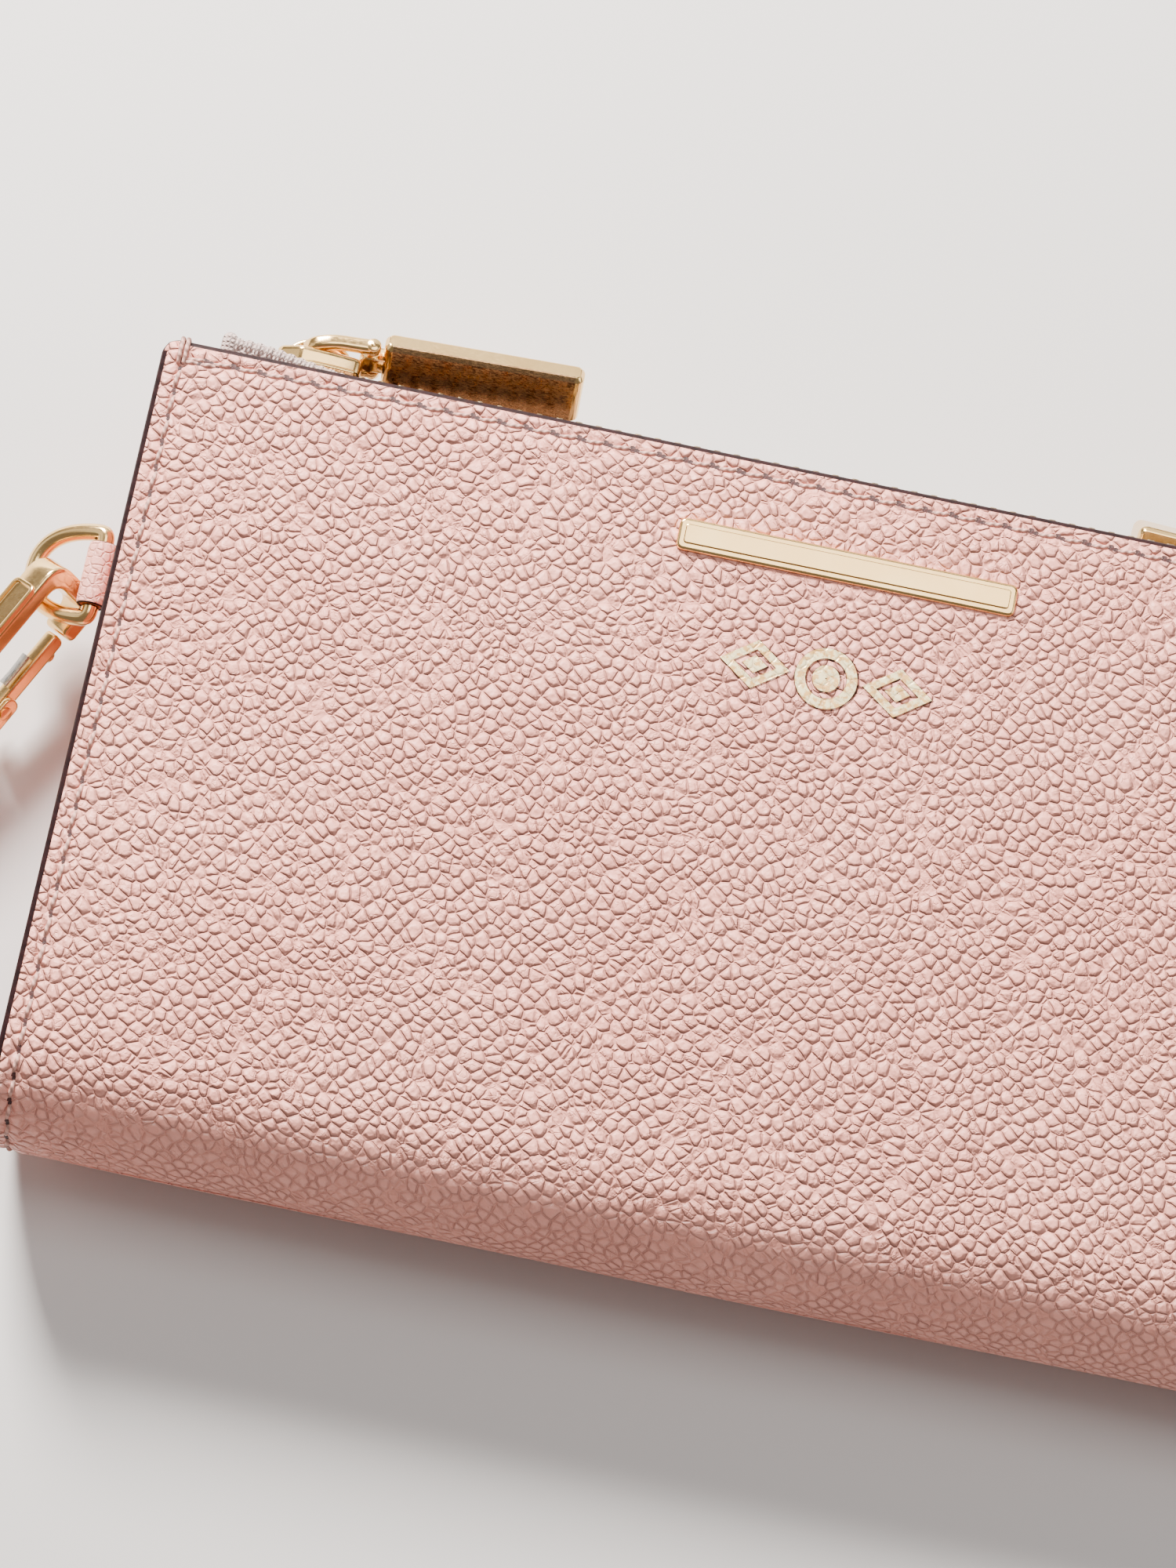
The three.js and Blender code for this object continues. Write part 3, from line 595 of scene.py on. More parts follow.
def add_sweep(piece, path, section, closed=False, side=None, scale=None):
    """Carry a section (points of two sideways distances) along a path, capped at open ends."""
    path = np.asarray(path, float)
    section = np.asarray(section, float)
    a, b = normals_along(path, closed, side)
    size = np.ones(len(path)) if scale is None else np.asarray(scale, float)
    sideways = section[None, :, :1] * a[:, None] + section[None, :, 1:] * b[:, None]
    rings = path[:, None] + sideways * size[:, None, None]
    n, m = len(path), len(section)
    around = np.arctan2(section[:, 1], section[:, 0])
    hide = hide_places(around[None], run_along(path)[:, None])
    faces = grid_faces(n, m, around=True)
    if closed:
        faces += [((n - 1) * m + c, (n - 1) * m + (c + 1) % m, (c + 1) % m, c) for c in range(m)]
    else:
        faces += [tuple(range(m)), tuple(range((n - 1) * m, n * m))]
    piece.add(rings, faces, 0, hide)


def circle(radius, sides, squash=1.0):
    angles = np.arange(sides) / sides * math.tau
    return np.stack([radius * np.cos(angles), radius * squash * np.sin(angles)], 1)


def filleted(turns, steps=5):
    """A closed outline through turns (x, y, radius), each rounded with an arc."""
    points = []
    count = len(turns)
    for i, (x, y, radius) in enumerate(turns):
        here = np.array([x, y], float)
        before = np.array(turns[i - 1][:2], float) - here
        after = np.array(turns[(i + 1) % count][:2], float) - here
        if radius == 0:
            points.append(here)
            continue
        before /= np.linalg.norm(before)
        after /= np.linalg.norm(after)
        half = math.acos(max(-1.0, min(1.0, before @ after))) / 2
        reach = radius / math.tan(half)
        middle = here + (before + after) / np.linalg.norm(before + after) * radius / math.sin(half)
        start, end = here + before * reach - middle, here + after * reach - middle
        turn = math.atan2(start[0] * end[1] - start[1] * end[0], start @ end)
        for k in range(steps + 1):
            angle = turn * k / steps
            c, s = math.cos(angle), math.sin(angle)
            points.append(middle + [start[0] * c - start[1] * s, start[0] * s + start[1] * c])
    return np.array(points)


def rounded_rect(x0, x1, y0, y1, radius, steps=5):
    return filleted([(x0, y0, radius), (x1, y0, radius), (x1, y1, radius), (x0, y1, radius)], steps)


def bevel_levels(low, high, bevel, steps=4):
    """Heights of a slab's rings with how far each is drawn in, to round both of its rims."""
    angles = [math.pi / 2 * k / steps for k in range(steps + 1)]
    lower = [(low + bevel * (1 - math.sin(a)), bevel * (1 - math.cos(a))) for a in reversed(angles)]
    upper = [(high - bevel * (1 - math.sin(a)), bevel * (1 - math.cos(a))) for a in angles]
    return lower + upper


def drawn_in(outline, distance):
    """The outline moved inwards by distance, corner by corner. It runs anticlockwise."""
    ahead = unit(np.roll(outline, -1, 0) - outline)
    behind = unit(outline - np.roll(outline, 1, 0))
    along = unit(ahead + behind)
    inward = np.stack([-along[:, 1], along[:, 0]], 1)
    shrink = np.maximum((along * ahead).sum(1), 0.5)
    return outline + inward * (distance / shrink)[:, None]


def add_slab(piece, outline, levels, place=np.eye(4)):
    """Stack an outline at each (height, drawn in) level. place maps (x, y, height) into the frame.

    One more ring just inside each end keeps the flat caps' shading flat.
    """
    (first, first_in), (last, last_in) = levels[0], levels[-1]
    rings = []
    for height, inset in [(first, first_in + CAP_RING), *levels, (last, last_in + CAP_RING)]:
        ring = drawn_in(outline, inset) if inset else outline
        rings.append(np.column_stack([ring, np.full(len(ring), height)]))
    rings = np.array(rings)
    n, m = rings.shape[:2]
    faces = grid_faces(n, m, around=True) + [tuple(reversed(range(m))), tuple(range((n - 1) * m, n * m))]
    piece.add(moved(place, rings.reshape(-1, 3)), faces)


def basis(x, y, z, origin):
    """A 4 x 4 placing matrix, in millimetres, from three axes and an origin."""
    made = np.eye(4)
    made[:3, 0], made[:3, 1], made[:3, 2], made[:3, 3] = x, y, z, origin
    return made


def moved(place, points):
    return np.asarray(points, float) @ place[:3, :3].T + place[:3, 3]


def add_turned(piece, place, start, axis, steps, radius, sides):
    """A turned part on an axis through start, both in place's axes.

    Each step is (way along the axis, share of radius).
    """
    ways = [way for way, share in steps]
    path = moved(place, np.array(start, float) + np.outer(ways, axis))
    add_sweep(piece, path, circle(radius, sides), scale=[share for way, share in steps])


def smooth_path(points, count, closed=False):
    """A centripetal Catmull-Rom curve through points, at evenly spaced places."""
    points = np.asarray(points, float)
    if closed:
        padded = np.vstack([points[-1], points, points[0], points[1]])
    else:
        padded = np.vstack([2 * points[0] - points[1], points, 2 * points[-1] - points[-2]])
    dense = []
    for p0, p1, p2, p3 in zip(padded, padded[1:], padded[2:], padded[3:]):
        t0 = 0.0
        t1 = t0 + np.linalg.norm(p1 - p0) ** 0.5
        t2 = t1 + np.linalg.norm(p2 - p1) ** 0.5
        t3 = t2 + np.linalg.norm(p3 - p2) ** 0.5
        for t in np.linspace(t1, t2, 24, endpoint=False):
            a1 = (t1 - t) / (t1 - t0) * p0 + (t - t0) / (t1 - t0) * p1
            a2 = (t2 - t) / (t2 - t1) * p1 + (t - t1) / (t2 - t1) * p2
            a3 = (t3 - t) / (t3 - t2) * p2 + (t - t2) / (t3 - t2) * p3
            b1 = (t2 - t) / (t2 - t0) * a1 + (t - t0) / (t2 - t0) * a2
            b2 = (t3 - t) / (t3 - t1) * a2 + (t - t1) / (t3 - t1) * a3
            dense.append((t2 - t) / (t2 - t1) * b1 + (t - t1) / (t2 - t1) * b2)
    dense.append(points[0] if closed else points[-1])
    dense = np.array(dense)
    run = run_along(dense)
    places = np.linspace(0, run[-1], count, endpoint=not closed)
    return np.stack([np.interp(places, run, dense[:, k]) for k in range(dense.shape[1])], 1)


def step(x, low, high):
    t = np.clip((np.asarray(x, float) - low) / (high - low), 0, 1)
    return t * t * (3 - 2 * t)


# ---- outer leather -----------------------------------------------------------------------
STITCH_SIDE = 2.4
STITCH_TOP = 2.1
PITCH = 3.4
GROOVE_DEPTH = 0.42
GROOVE_WIDTH = 0.75
CROWN = 0.75
FOLD_SWELL = 0.35
EDGE_ROLL = 0.42
CORNER_R = 1.8
PAINT_REACH = 0.5
BACK_TURN = np.diag([-1.0, 1.0, -1.0, 1.0])
BACK_TURN[2, 3] = DEPTH
TURN_OF = {"front": None, "back": BACK_TURN}


def soft_waves(x, s):
    """Slow unevenness of a hide glued over a board."""
    return (0.06 * np.sin(x / 13.0 + 0.7 * np.sin(s / 21.0)) * np.sin(s / 11.0 + 0.9)
            + 0.05 * np.sin(x / 29.0 - s / 17.0 + 1.3))


def relief(x, s):
    """Height of the leather's face over its plain wrap: crown, stitch groove, puckers and rolled edges."""
    def seam(across, line, along, end):
        puckered = 0.75 + 0.25 * np.cos(math.tau * along / PITCH)
        return np.exp(-(((across - line) / GROOVE_WIDTH) ** 2)) * puckered * step(*end)

    side = HALF - np.abs(x)
    inward = np.minimum(side, s)
    crown = CROWN * (1 - (x / HALF) ** 2) * np.sin(np.pi * np.clip(s / FLAT, 0, 1)) ** 0.8
    fold = FOLD_SWELL * np.exp(-(((s - HALF_WRAP) / 15.0) ** 2)) * (1 - (x / HALF) ** 4)
    side_seam = seam(side, STITCH_SIDE, s, (s, STITCH_TOP - 0.6, STITCH_TOP + 0.2))
    top_seam = seam(s, STITCH_TOP, x, (side, STITCH_SIDE - 0.6, STITCH_SIDE + 0.2))
    groove = GROOVE_DEPTH * np.maximum(side_seam, top_seam)
    pillow = 0.10 * np.exp(-(((inward - 4.2) / 1.6) ** 2))
    rolled = EDGE_ROLL * (1 - step(inward, 0.0, 1.3)) ** 1.5
    return crown + fold + pillow - groove - rolled + soft_waves(x, s) * step(inward, 1.0, 9.0)


def wrap_point(x, s, lift):
    """Point of the wrap at x and a distance s from the front's top edge, lift above the plain face."""
    x, s, lift = np.broadcast_arrays(np.asarray(x, float), np.asarray(s, float), np.asarray(lift, float))
    angle = np.clip((s - FLAT) / FOLD_R, 0, None)
    radius = FOLD_R + lift
    flat_y, flat_z = TOP - s, MID_Z + radius
    arc_y, arc_z = FOLD_Y - radius * np.sin(angle), MID_Z + radius * np.cos(angle)
    on_flat = s <= FLAT
    return np.stack([x, np.where(on_flat, flat_y, arc_y), np.where(on_flat, flat_z, arc_z)], -1)


def graded(low, high, fine, coarse, border):
    """Places from low to high, close together within border of both ends."""
    ends = np.arange(0, border, fine)
    middle = np.linspace(low + border, high - border, int(round((high - low - 2 * border) / coarse)) + 1)
    return np.concatenate([low + ends, middle, high - ends[::-1]])


def rounded_corners(x, s):
    """Pull a square grid's two top corners in to arcs of CORNER_R."""
    side = HALF - np.abs(x)
    a = 1 - np.clip(side / CORNER_R, 0, 1)
    b = 1 - np.clip(s / CORNER_R, 0, 1)
    inside = (a > 0) & (b > 0)
    share = np.where(inside, np.maximum(a, b) / np.maximum(np.hypot(a, b), 1e-9), 1.0)
    new_side = CORNER_R * (1 - a * share)
    new_s = CORNER_R * (1 - b * share)
    return np.where(inside, np.sign(x) * (HALF - new_side), x), np.where(inside, new_s, s)


FINE_GRID = 0.42
FINE_BORDER = 6.0


def leather_wrap(prefix, *nodes):
    """Half of the outer leather, from a top edge to the middle of the fold."""
    across = graded(-HALF, HALF, FINE_GRID, 0.85, FINE_BORDER)
    fine = np.arange(0, FINE_BORDER, FINE_GRID)
    coarse = np.linspace(FINE_BORDER, HALF_WRAP, int((HALF_WRAP - FINE_BORDER) / 0.8))
    along = np.concatenate([fine, coarse])
    x, s = np.meshgrid(across, along)
    x, s = rounded_corners(x, s)
    outer = wrap_point(x, s, relief(x, s))
    inner = wrap_point(x, s, -LEATHER + 0.25 * np.minimum(0, relief(x, s)))
    hide = hide_places(x, s) if prefix == "front" else hide_places(-x, 2 * HALF_WRAP - s)
    wrap = (HALF - np.abs(x) < PAINT_REACH) | (s < PAINT_REACH)
    piece = Piece()
    add_closed_sheet(piece, outer, inner, hide, 0.32, plain_row=len(along) - 1, wrap=wrap)
    obj = piece.make(prefix + "_panel", [PANEL, EDGE], "panel_leather", TURN_OF[prefix])
    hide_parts(*nodes)
    bend_round_fold(obj, prefix)


def bend(obj, prefix, core_end, panel_end):
    """Bake a piece's place into its mesh. No bend is made between core_end and panel_end."""
    if prefix == "front":
        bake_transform(obj)
        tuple(core_end)
        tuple(panel_end)
    else:
        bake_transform(obj)
        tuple(panel_end)
        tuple(core_end)


def bend_round_fold(obj, prefix):
    middle_x = (LEFT + RIGHT) / 2 * MM
    panel_z = DEPTH * MM if prefix == "front" else 0.0
    bend(obj, prefix, (middle_x, (FOLD_Y - FOLD_R) * MM, MID_Z * MM), (middle_x, FOLD_Y * MM, panel_z))


leather_wrap("front", "front_leather", "bottom_fold")
leather_wrap("back", "back_leather")


# ---- stitches ------------------------------------------------------------------------------
THREAD_R = 0.30
STITCH_LENGTH = 2.75
STITCH_SINK = 0.42
STITCH_ARCH = 0.50
SHADOW_DISC_R = 0.42
OVER_EDGE = 0.34


def surface(x, s, lift=0.0):
    return wrap_point(x, s, relief(x, s) + lift)


def add_stitch(thread, shadow_discs, start, end, slant):
    """One stitch between two needle holes on the hide, (x, s) each, sunk in at both ends, with a dark disc
    of painted shadow over each hole.
    """
    start, end = np.array(start, float), np.array(end, float)
    run = (end - start) / np.linalg.norm(end - start)
    sideways = np.array([-run[1], run[0]]) * slant
    t = np.linspace(0, 1, 9)
    places = start + (end - start) * t[:, None] + sideways * (0.5 - t)[:, None]
    lift = -STITCH_SINK + STITCH_ARCH * np.sin(np.pi * t) ** 0.45
    path = surface(places[:, 0], places[:, 1])
    normal = surface(places[:, 0], places[:, 1], 1.0) - path
    path = path + normal * lift[:, None]
    plump = 0.55 + 0.45 * np.sin(np.pi * t) ** 0.5
    add_sweep(thread, path, circle(THREAD_R, 8), side=normal[4], scale=plump)
    # A flat dark disc just over the leather at each needle hole: painted shadow.
    for x, s in (places[0], places[-1]):
        at = surface(x, s)
        out = surface(x, s, 1.0) - at
        ring = [at + out * h for h in (-0.3, 0.035, 0.05)]
        add_sweep(shadow_discs, ring, circle(SHADOW_DISC_R, 8), scale=[0.8, 1.0, 0.2])


def stitch_line(thread, shadow_discs, start, end, slant):
    start, end = np.array(start, float), np.array(end, float)
    length = np.linalg.norm(end - start)
    count = int(length // PITCH)
    run = (end - start) / length
    for i in range(count):
        a = start + run * (i * PITCH + (PITCH - STITCH_LENGTH) / 2)
        add_stitch(thread, shadow_discs, a, a + run * STITCH_LENGTH, slant)


def border_stitches(prefix):
    """Stitches down both sides and along the top, with two turns over the edge at each top corner."""
    thread, shadow_discs = Piece(), Piece()
    edge_x = HALF - STITCH_SIDE
    for side in (-1, 1):
        x = side * edge_x
        stitch_line(thread, shadow_discs, (x, STITCH_TOP + 1.2), (x, HALF_WRAP - 0.4), side * 0.36)
    stitch_line(thread, shadow_discs, (-edge_x, STITCH_TOP), (edge_x, STITCH_TOP), 0.30)
    for side in (-1, 1):
        x = side * edge_x
        for offset in (-OVER_EDGE, OVER_EDGE):
            path_s = np.linspace(2.6, 0.0, 7)
            face = surface(x + offset, path_s, 0.16)
            over = wrap_point(x + offset, np.zeros(5), np.linspace(-0.1, -LEATHER, 5))
            over[:, 1] += 0.42
            path = np.vstack([surface(x + offset, 2.9, -0.3)[None], face, over])
            add_sweep(thread, path, circle(THREAD_R, 8), side=(1, 0, 0))
        for k in range(2):
            start = (side * (edge_x - 0.3 - 2.1 * k), STITCH_TOP + 0.5)
            end = (side * (edge_x - 2.3 - 2.1 * k), STITCH_TOP + 0.42)
            add_stitch(thread, shadow_discs, start, end, 0.1)
    obj = thread.make(prefix + "_border_stitches", [THREAD], "thread", TURN_OF[prefix])
    bend_round_fold(obj, prefix)
    shadow_disc_obj = shadow_discs.make(prefix + "_hole_shadow_discs", [HOLE_SHADOW_PAINT], "thread", TURN_OF[prefix])
    bend_round_fold(shadow_disc_obj, prefix)


border_stitches("front")
border_stitches("back")


# ---- nameplate and foil stamp -----------------------------------------------------------
NAMEPLATE_SINK = 0.4
NAMEPLATE_RIM = 0.85
STUD_R = 0.8
STUD_INSET = 3.5
FOIL_DROP = 12.6
FOIL_RINGS = ((3.9, 2.6), (1.7, 0.1))
FOIL_DIAMONDS = ((4.4, 2.7), (1.6, 0.1))
DIAMOND_AWAY = 9.0
DIAMOND_TALL = 0.72
SHADOW_LINE_WIDTH = 0.17
SHADOW_LINE_SHIFT = 0.10


def nameplate():
    low, high = corners("nameplate")
    piece = Piece()
    outline = rounded_rect(low[0], high[0], low[1], high[1], 0.9)
    floor, top = DEPTH - NAMEPLATE_SINK, high[2]
    add_slab(piece, outline, bevel_levels(floor, top - 0.22, 0.38))
    field_low, field_high = low + NAMEPLATE_RIM, high - NAMEPLATE_RIM
    raised = rounded_rect(field_low[0], field_high[0], field_low[1], field_high[1], 0.4)
    add_slab(piece, raised, [(top - 0.4, 0.0), (top - 0.10, 0.0), (top - 0.03, 0.03), (top, 0.10)])
    for x in (low[0] + STUD_INSET, high[0] - STUD_INSET):
        stud = [[x, (low[1] + high[1]) / 2, z] for z in (low[2], floor + 0.2)]
        add_sweep(piece, stud, circle(STUD_R, 16))
    obj = piece.make("nameplate_bar", [GOLD], "gold_metal", sharp=35)
    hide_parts("nameplate")
    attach(obj, "front")


def foil_ornament():
    """A ring between two diamonds, in foil, under the nameplate, each with a thin dark line of painted
    shadow round it.
    """
    low, high = corners("nameplate")
    centre_x = (low[0] + high[0]) / 2
    centre_s = TOP - low[1] + FOIL_DROP
    piece = Piece()

    def band(outer, inner, slot, lifts):
        count = len(outer)
        places = np.concatenate([outer, (outer + inner) / 2, inner])
        x, s = centre_x + places[:, 0], centre_s + places[:, 1]
        verts = np.concatenate([surface(x, s, lift) for lift in lifts])
        hide = np.tile(hide_places(x, s), (2, 1))
        layer = 3 * count
        faces = grid_faces(3, count, around=True)
        faces += [tuple(reversed([i + layer for i in f])) for f in grid_faces(3, count, around=True)]
        for first in (0, 2 * count):
            for k in range(count):
                n = (k + 1) % count
                faces.append((first + k, first + n, layer + first + n, layer + first + k))
        piece.add(verts, faces, slot, hide)

    def stamp(shape, size, hole, shift):
        """A closed band of foil with a thin dark band round it, shifted right and down the panel: painted
        shadow of the pressed edge.
        """
        under = shift + SHADOW_LINE_SHIFT
        inside = max(hole - SHADOW_LINE_WIDTH, 0.05)
        band(shape * (size + SHADOW_LINE_WIDTH) + under, shape * inside + under, 1, (0.020, 0.005))
        band(shape * size + shift, shape * hole + shift, 0, (0.045, 0.024))

    angles = np.arange(64) / 64 * math.tau
    ring = np.stack([np.cos(angles), np.sin(angles)], 1)
    for size, hole in FOIL_RINGS:
        stamp(ring, size, hole, 0.0)
    share = np.arange(64) / 16
    corner = share.astype(int)
    way = (share - corner)[:, None]
    tips = np.array([[1.0, 0.0], [0.0, DIAMOND_TALL], [-1.0, 0.0], [0.0, -DIAMOND_TALL], [1.0, 0.0]])
    diamond = tips[corner] * (1 - way) + tips[corner + 1] * way
    for side in (-1, 1):
        for size, hole in FOIL_DIAMONDS:
            stamp(diamond, size, hole, np.array([side * DIAMOND_AWAY, 0.0]))
    obj = piece.make("foil_ornament", [FOIL, PRESS_SHADOW_PAINT], "gold_metal")
    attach(obj, "front")


nameplate()
foil_ornament()


# ---- linings, boards and pockets --------------------------------------------------------
def leaf(node, material, slot_name, hem=0.0, wave=0.0):
    """A flat leaf in its CAD slab's place, with soft edges, slight waves and a turned hem at its top."""
    low, high = corners(node)
    xs = graded(low[0], high[0], 0.6, 4.0, 3.0)
    ys = graded(low[1], high[1], 0.6, 4.0, 3.0)
    x, y = np.meshgrid(xs, ys)
    inward = np.minimum(np.minimum(x - low[0], high[0] - x), np.minimum(y - low[1], high[1] - y))
    pinch = 0.2 * (high[2] - low[2]) * (1 - step(inward, 0, 0.9))
    ripple = wave * np.sin(x / 12.0 + y / 30.0) * step(inward, 0, 12)
    from_top = high[1] - y
    turned = hem * (step(from_top, -0.1, 0.3) - step(from_top, 5.5, 6.0)) * 0.5
    outer = np.stack([x, y, high[2] + ripple + turned - pinch], -1)
    inner = np.stack([x, y, low[2] + ripple + pinch], -1)
    piece = Piece()
    add_closed_sheet(piece, outer, inner, hide_places(x, y), 0.12, edge_slot=0)
    obj = piece.make(node + "_leaf", [material], slot_name)
    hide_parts(node)
    return obj, low, high


def leaf_stitches(node, low, high, body, drop):
    """A row of small stitches under the leaf's top edge."""
    piece = Piece()
    t = np.linspace(0, 1, 6)
    arch = np.sin(np.pi * t)
    count = int((high[0] - low[0] - 6) // PITCH)
    for i in range(count):
        x = low[0] + 3 + i * PITCH
        path = np.stack([x + 2.6 * t, np.full(6, high[1] - drop), high[2] - 0.15 + 0.2 * arch], 1)
        add_sweep(piece, path, circle(0.2, 6), side=(0, 0, 1), scale=0.5 + 0.5 * arch)
    obj = piece.make(node + "_stitches", [THREAD], "thread")
    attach(obj, body)


LININGS = (("front_lining", "front"), ("back_lining", "back"), ("divider_front_lining", "core"),
           ("divider_back_lining", "core"))
for node, body in LININGS:
    made, low, high = leaf(node, LINING, "lining")
    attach(made, body)
for node, body in (("front_stiffener", "front"), ("back_stiffener", "back"), ("divider_board", "core")):
    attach(leaf(node, BOARD, "board")[0], body)
for node, body in (("card_pocket_1", "back"), ("card_pocket_2", "back"), ("card_pocket_3", "back"),
                   ("phone_pocket", "core"), ("note_pocket", "core"), ("divider_binding", "core")):
    look = (LINING, "lining") if node == "note_pocket" else (SMOOTH, "smooth_leather")
    made, low, high = leaf(node, *look, hem=0.12, wave=0.03)
    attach(made, body)
    leaf_stitches(node, low, high, body, 4.6 if node == "divider_binding" else 1.8)


# ---- side gussets ---------------------------------------------------------------------------
GUSSET_THICK = 0.7


def gusset(prefix, word):
    """A soft V-folded strip between panel and divider, its fold pointing in."""
    node = f"{prefix}_gusset_{word}"
    low, high = corners(node)
    mid, half = (low[2] + high[2]) / 2, (high[2] - low[2]) / 2
    sign = 1 if high[0] > 0 else -1
    out_x, in_x = sorted((sign * low[0], sign * high[0]), reverse=True)
    v, y = np.meshgrid(np.linspace(-1, 1, 15), np.linspace(low[1], high[1], 60))
    slack = 0.14 * np.sin(y / 7.0) * (1 - v ** 2) * step(y, low[1], low[1] + 15)
    depth_in = (1 - np.abs(v) ** 1.35) * (out_x - in_x - GUSSET_THICK) + slack
    x = out_x - depth_in
    z = mid + v * half
    lean = np.gradient(x, axis=1) / np.gradient(z, axis=1)
    nx, nz = 1 / np.hypot(1, lean), -lean / np.hypot(1, lean)
    outer = np.stack([sign * x, y, z], -1)
    inner = np.stack([sign * (x - GUSSET_THICK * nx), y, z - 0.4 * GUSSET_THICK * nz], -1)
    hide = hide_places(z * 1.6, y, 4.0)
    piece = Piece()
    add_closed_sheet(piece, outer, inner, hide, 0.1, edge_slot=0)
    obj = piece.make(node + "_fold", [PANEL], "panel_leather")
    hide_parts(node)
    ends = [(0, 0, low[2] * MM), (0, 0, high[2] * MM)]
    bend(obj, prefix, *(ends if prefix == "front" else reversed(ends)))


for prefix in ("front", "back"):
    for word in ("left", "right"):
        gusset(prefix, word)


# ---- zips --------------------------------------------------------------------------------------
# Each zip is shaped in the front zip's place, and the back one is turned round by BACK_TURN.
chain_low, chain_high = corners("front_zip_outer_teeth")
CHAIN_Y = (chain_low[1] + chain_high[1]) / 2
CHAIN_Z = chain_low[2] - 0.15
CHAIN_START, CHAIN_END = chain_low[0], chain_high[0]
tape_low, tape_high = corners("front_zip_outer_tape")
TAPE_OUT = tape_high[2]
TAPE_THICK = 0.65
OUTER_FOLD = 0.9
INNER_FOLD = 1.0
TAPE_RISE = 2.0
TAPE_SINKS = (-80, -64)
TAPE_BEAD = 1.15
BEAD_STITCH = 1.35
BEAD_END = -54
TOOTH_PITCH = 2.55
SIDE_OF = {"outer": 1, "inner": -1}


def tape_top(x):
    """Height of the outer tape's fold: it stands clear of the leather at its left end."""
    return TOP + OUTER_FOLD + TAPE_RISE * (1 - step(x, *TAPE_SINKS))


def tape_grid(side):
    """Points of a tape's face, from its sewn edge up and over to the teeth.

    side is 1 for the outer tape and -1 for the inner one.
    """
    xs = np.linspace(tape_low[0], tape_high[0], 200)
    bottom = tape_low[1]
    rise = tape_top(xs) if side > 0 else np.full_like(xs, TOP + INNER_FOLD)
    reach = TAPE_OUT - CHAIN_Z
    inner_edge = chain_high[2] - CHAIN_Z - 0.5
    rows = []
    for t in np.linspace(0, 1, 17):
        up = step(t, 0.0, 0.62)
        over = max(0.0, (t - 0.5) / 0.5)
        y = bottom + (rise - bottom) * up - (rise - CHAIN_Y - 0.25) * over ** 2
        z = CHAIN_Z + side * (reach - (reach - inner_edge) * over ** 1.4)
        rows.append(np.stack([xs, y, np.full_like(xs, z)], -1))
    return np.array(rows)


def tape_bead(piece):
    """The knitted bead along the fold, bulging stitch by stitch, that shows over the leather's edge."""
    x = np.linspace(tape_low[0] - 0.5, BEAD_END, 150)
    path = np.stack([x, tape_top(x) - TAPE_BEAD * 0.8, np.full_like(x, TAPE_OUT - TAPE_BEAD * 0.7)], 1)
    stitches = 0.74 + 0.30 * np.abs(np.sin(math.pi * (x - x[0]) / BEAD_STITCH)) ** 0.6
    ends = step(x, x[0] - 0.3, x[0] + 0.9) * (1 - step(x, BEAD_END - 6, BEAD_END + 1))
    add_sweep(piece, path, circle(TAPE_BEAD, 14), side=(0, 0, 1), scale=stitches * (0.25 + 0.75 * ends))


def zip_tape(prefix, word):
    side = SIDE_OF[word]
    face = tape_grid(side)
    along = np.gradient(face, axis=0)
    across = np.gradient(face, axis=1)
    normal = unit(np.cross(across, along))
    normal *= side * np.sign(normal[0, 0, 2])
    run = run_along(face)
    rib = 0.06 * np.abs(np.sin(math.pi * run / TAPE_RIB))
    outer = face + normal * rib[..., None]
    inner = face - normal * TAPE_THICK
    hide = hide_places(face[..., 0], run, 2.0 * side)
    piece = Piece()
    add_closed_sheet(piece, outer, inner, hide, 0.1, edge_slot=0)
    roll = face[2:14, 0] - [0, 0, side * 0.15]
    roll[:, 0] = tape_low[0] + 0.4
    add_sweep(piece, roll, circle(1.05, 14, 0.9), side=(1, 0, 0), scale=[0.9] * 10 + [0.8, 0.45])
    if side > 0:
        tape_bead(piece)
    obj = piece.make(f"{prefix}_{word}_tape", [TAPE], "zip_tape", TURN_OF[prefix])
    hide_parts(f"{prefix}_zip_{word}_tape")
    return obj


def tooth(piece, x, side):
    """One tooth: a jaw clamped on the bead, waisted, with a rounded head past the chain's middle."""
    head, waist, jaw = 0.72, 0.46, 0.60
    root, tip = chain_high[2] - CHAIN_Z, -0.55
    outline = filleted([(-jaw, root, 0.3), (-jaw, 1.1, 0.2), (-waist, 0.85, 0.1), (-waist, 0.45, 0.1),
                        (-head, 0.1, 0.25), (-head * 0.7, tip, 0.3), (head * 0.7, tip, 0.3),
                        (head, 0.1, 0.25), (waist, 0.45, 0.1), (waist, 0.85, 0.1), (jaw, 1.1, 0.2),
                        (jaw, root, 0.3)], 2)
    place = basis((1, 0, 0), (0, 0, side), (0, 1, 0), (x, CHAIN_Y, CHAIN_Z))
    half = (chain_high[1] - chain_low[1]) / 2 + 0.12
    add_slab(piece, outline, [(-half, 0.12), (-half + 0.2, 0), (half - 0.25, 0), (half, 0.18)], place)


def zip_teeth(prefix, word):
    side = SIDE_OF[word]
    piece = Piece()
    count = int((CHAIN_END - CHAIN_START) / TOOTH_PITCH)
    first = CHAIN_START + 0.9 + (0 if side > 0 else TOOTH_PITCH / 2)
    for i in range(count):
        tooth(piece, first + i * TOOTH_PITCH, side)
    obj = piece.make(f"{prefix}_{word}_teeth", [TEETH], "zip_teeth", TURN_OF[prefix], sharp=40)
    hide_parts(f"{prefix}_zip_{word}_teeth")
    return obj


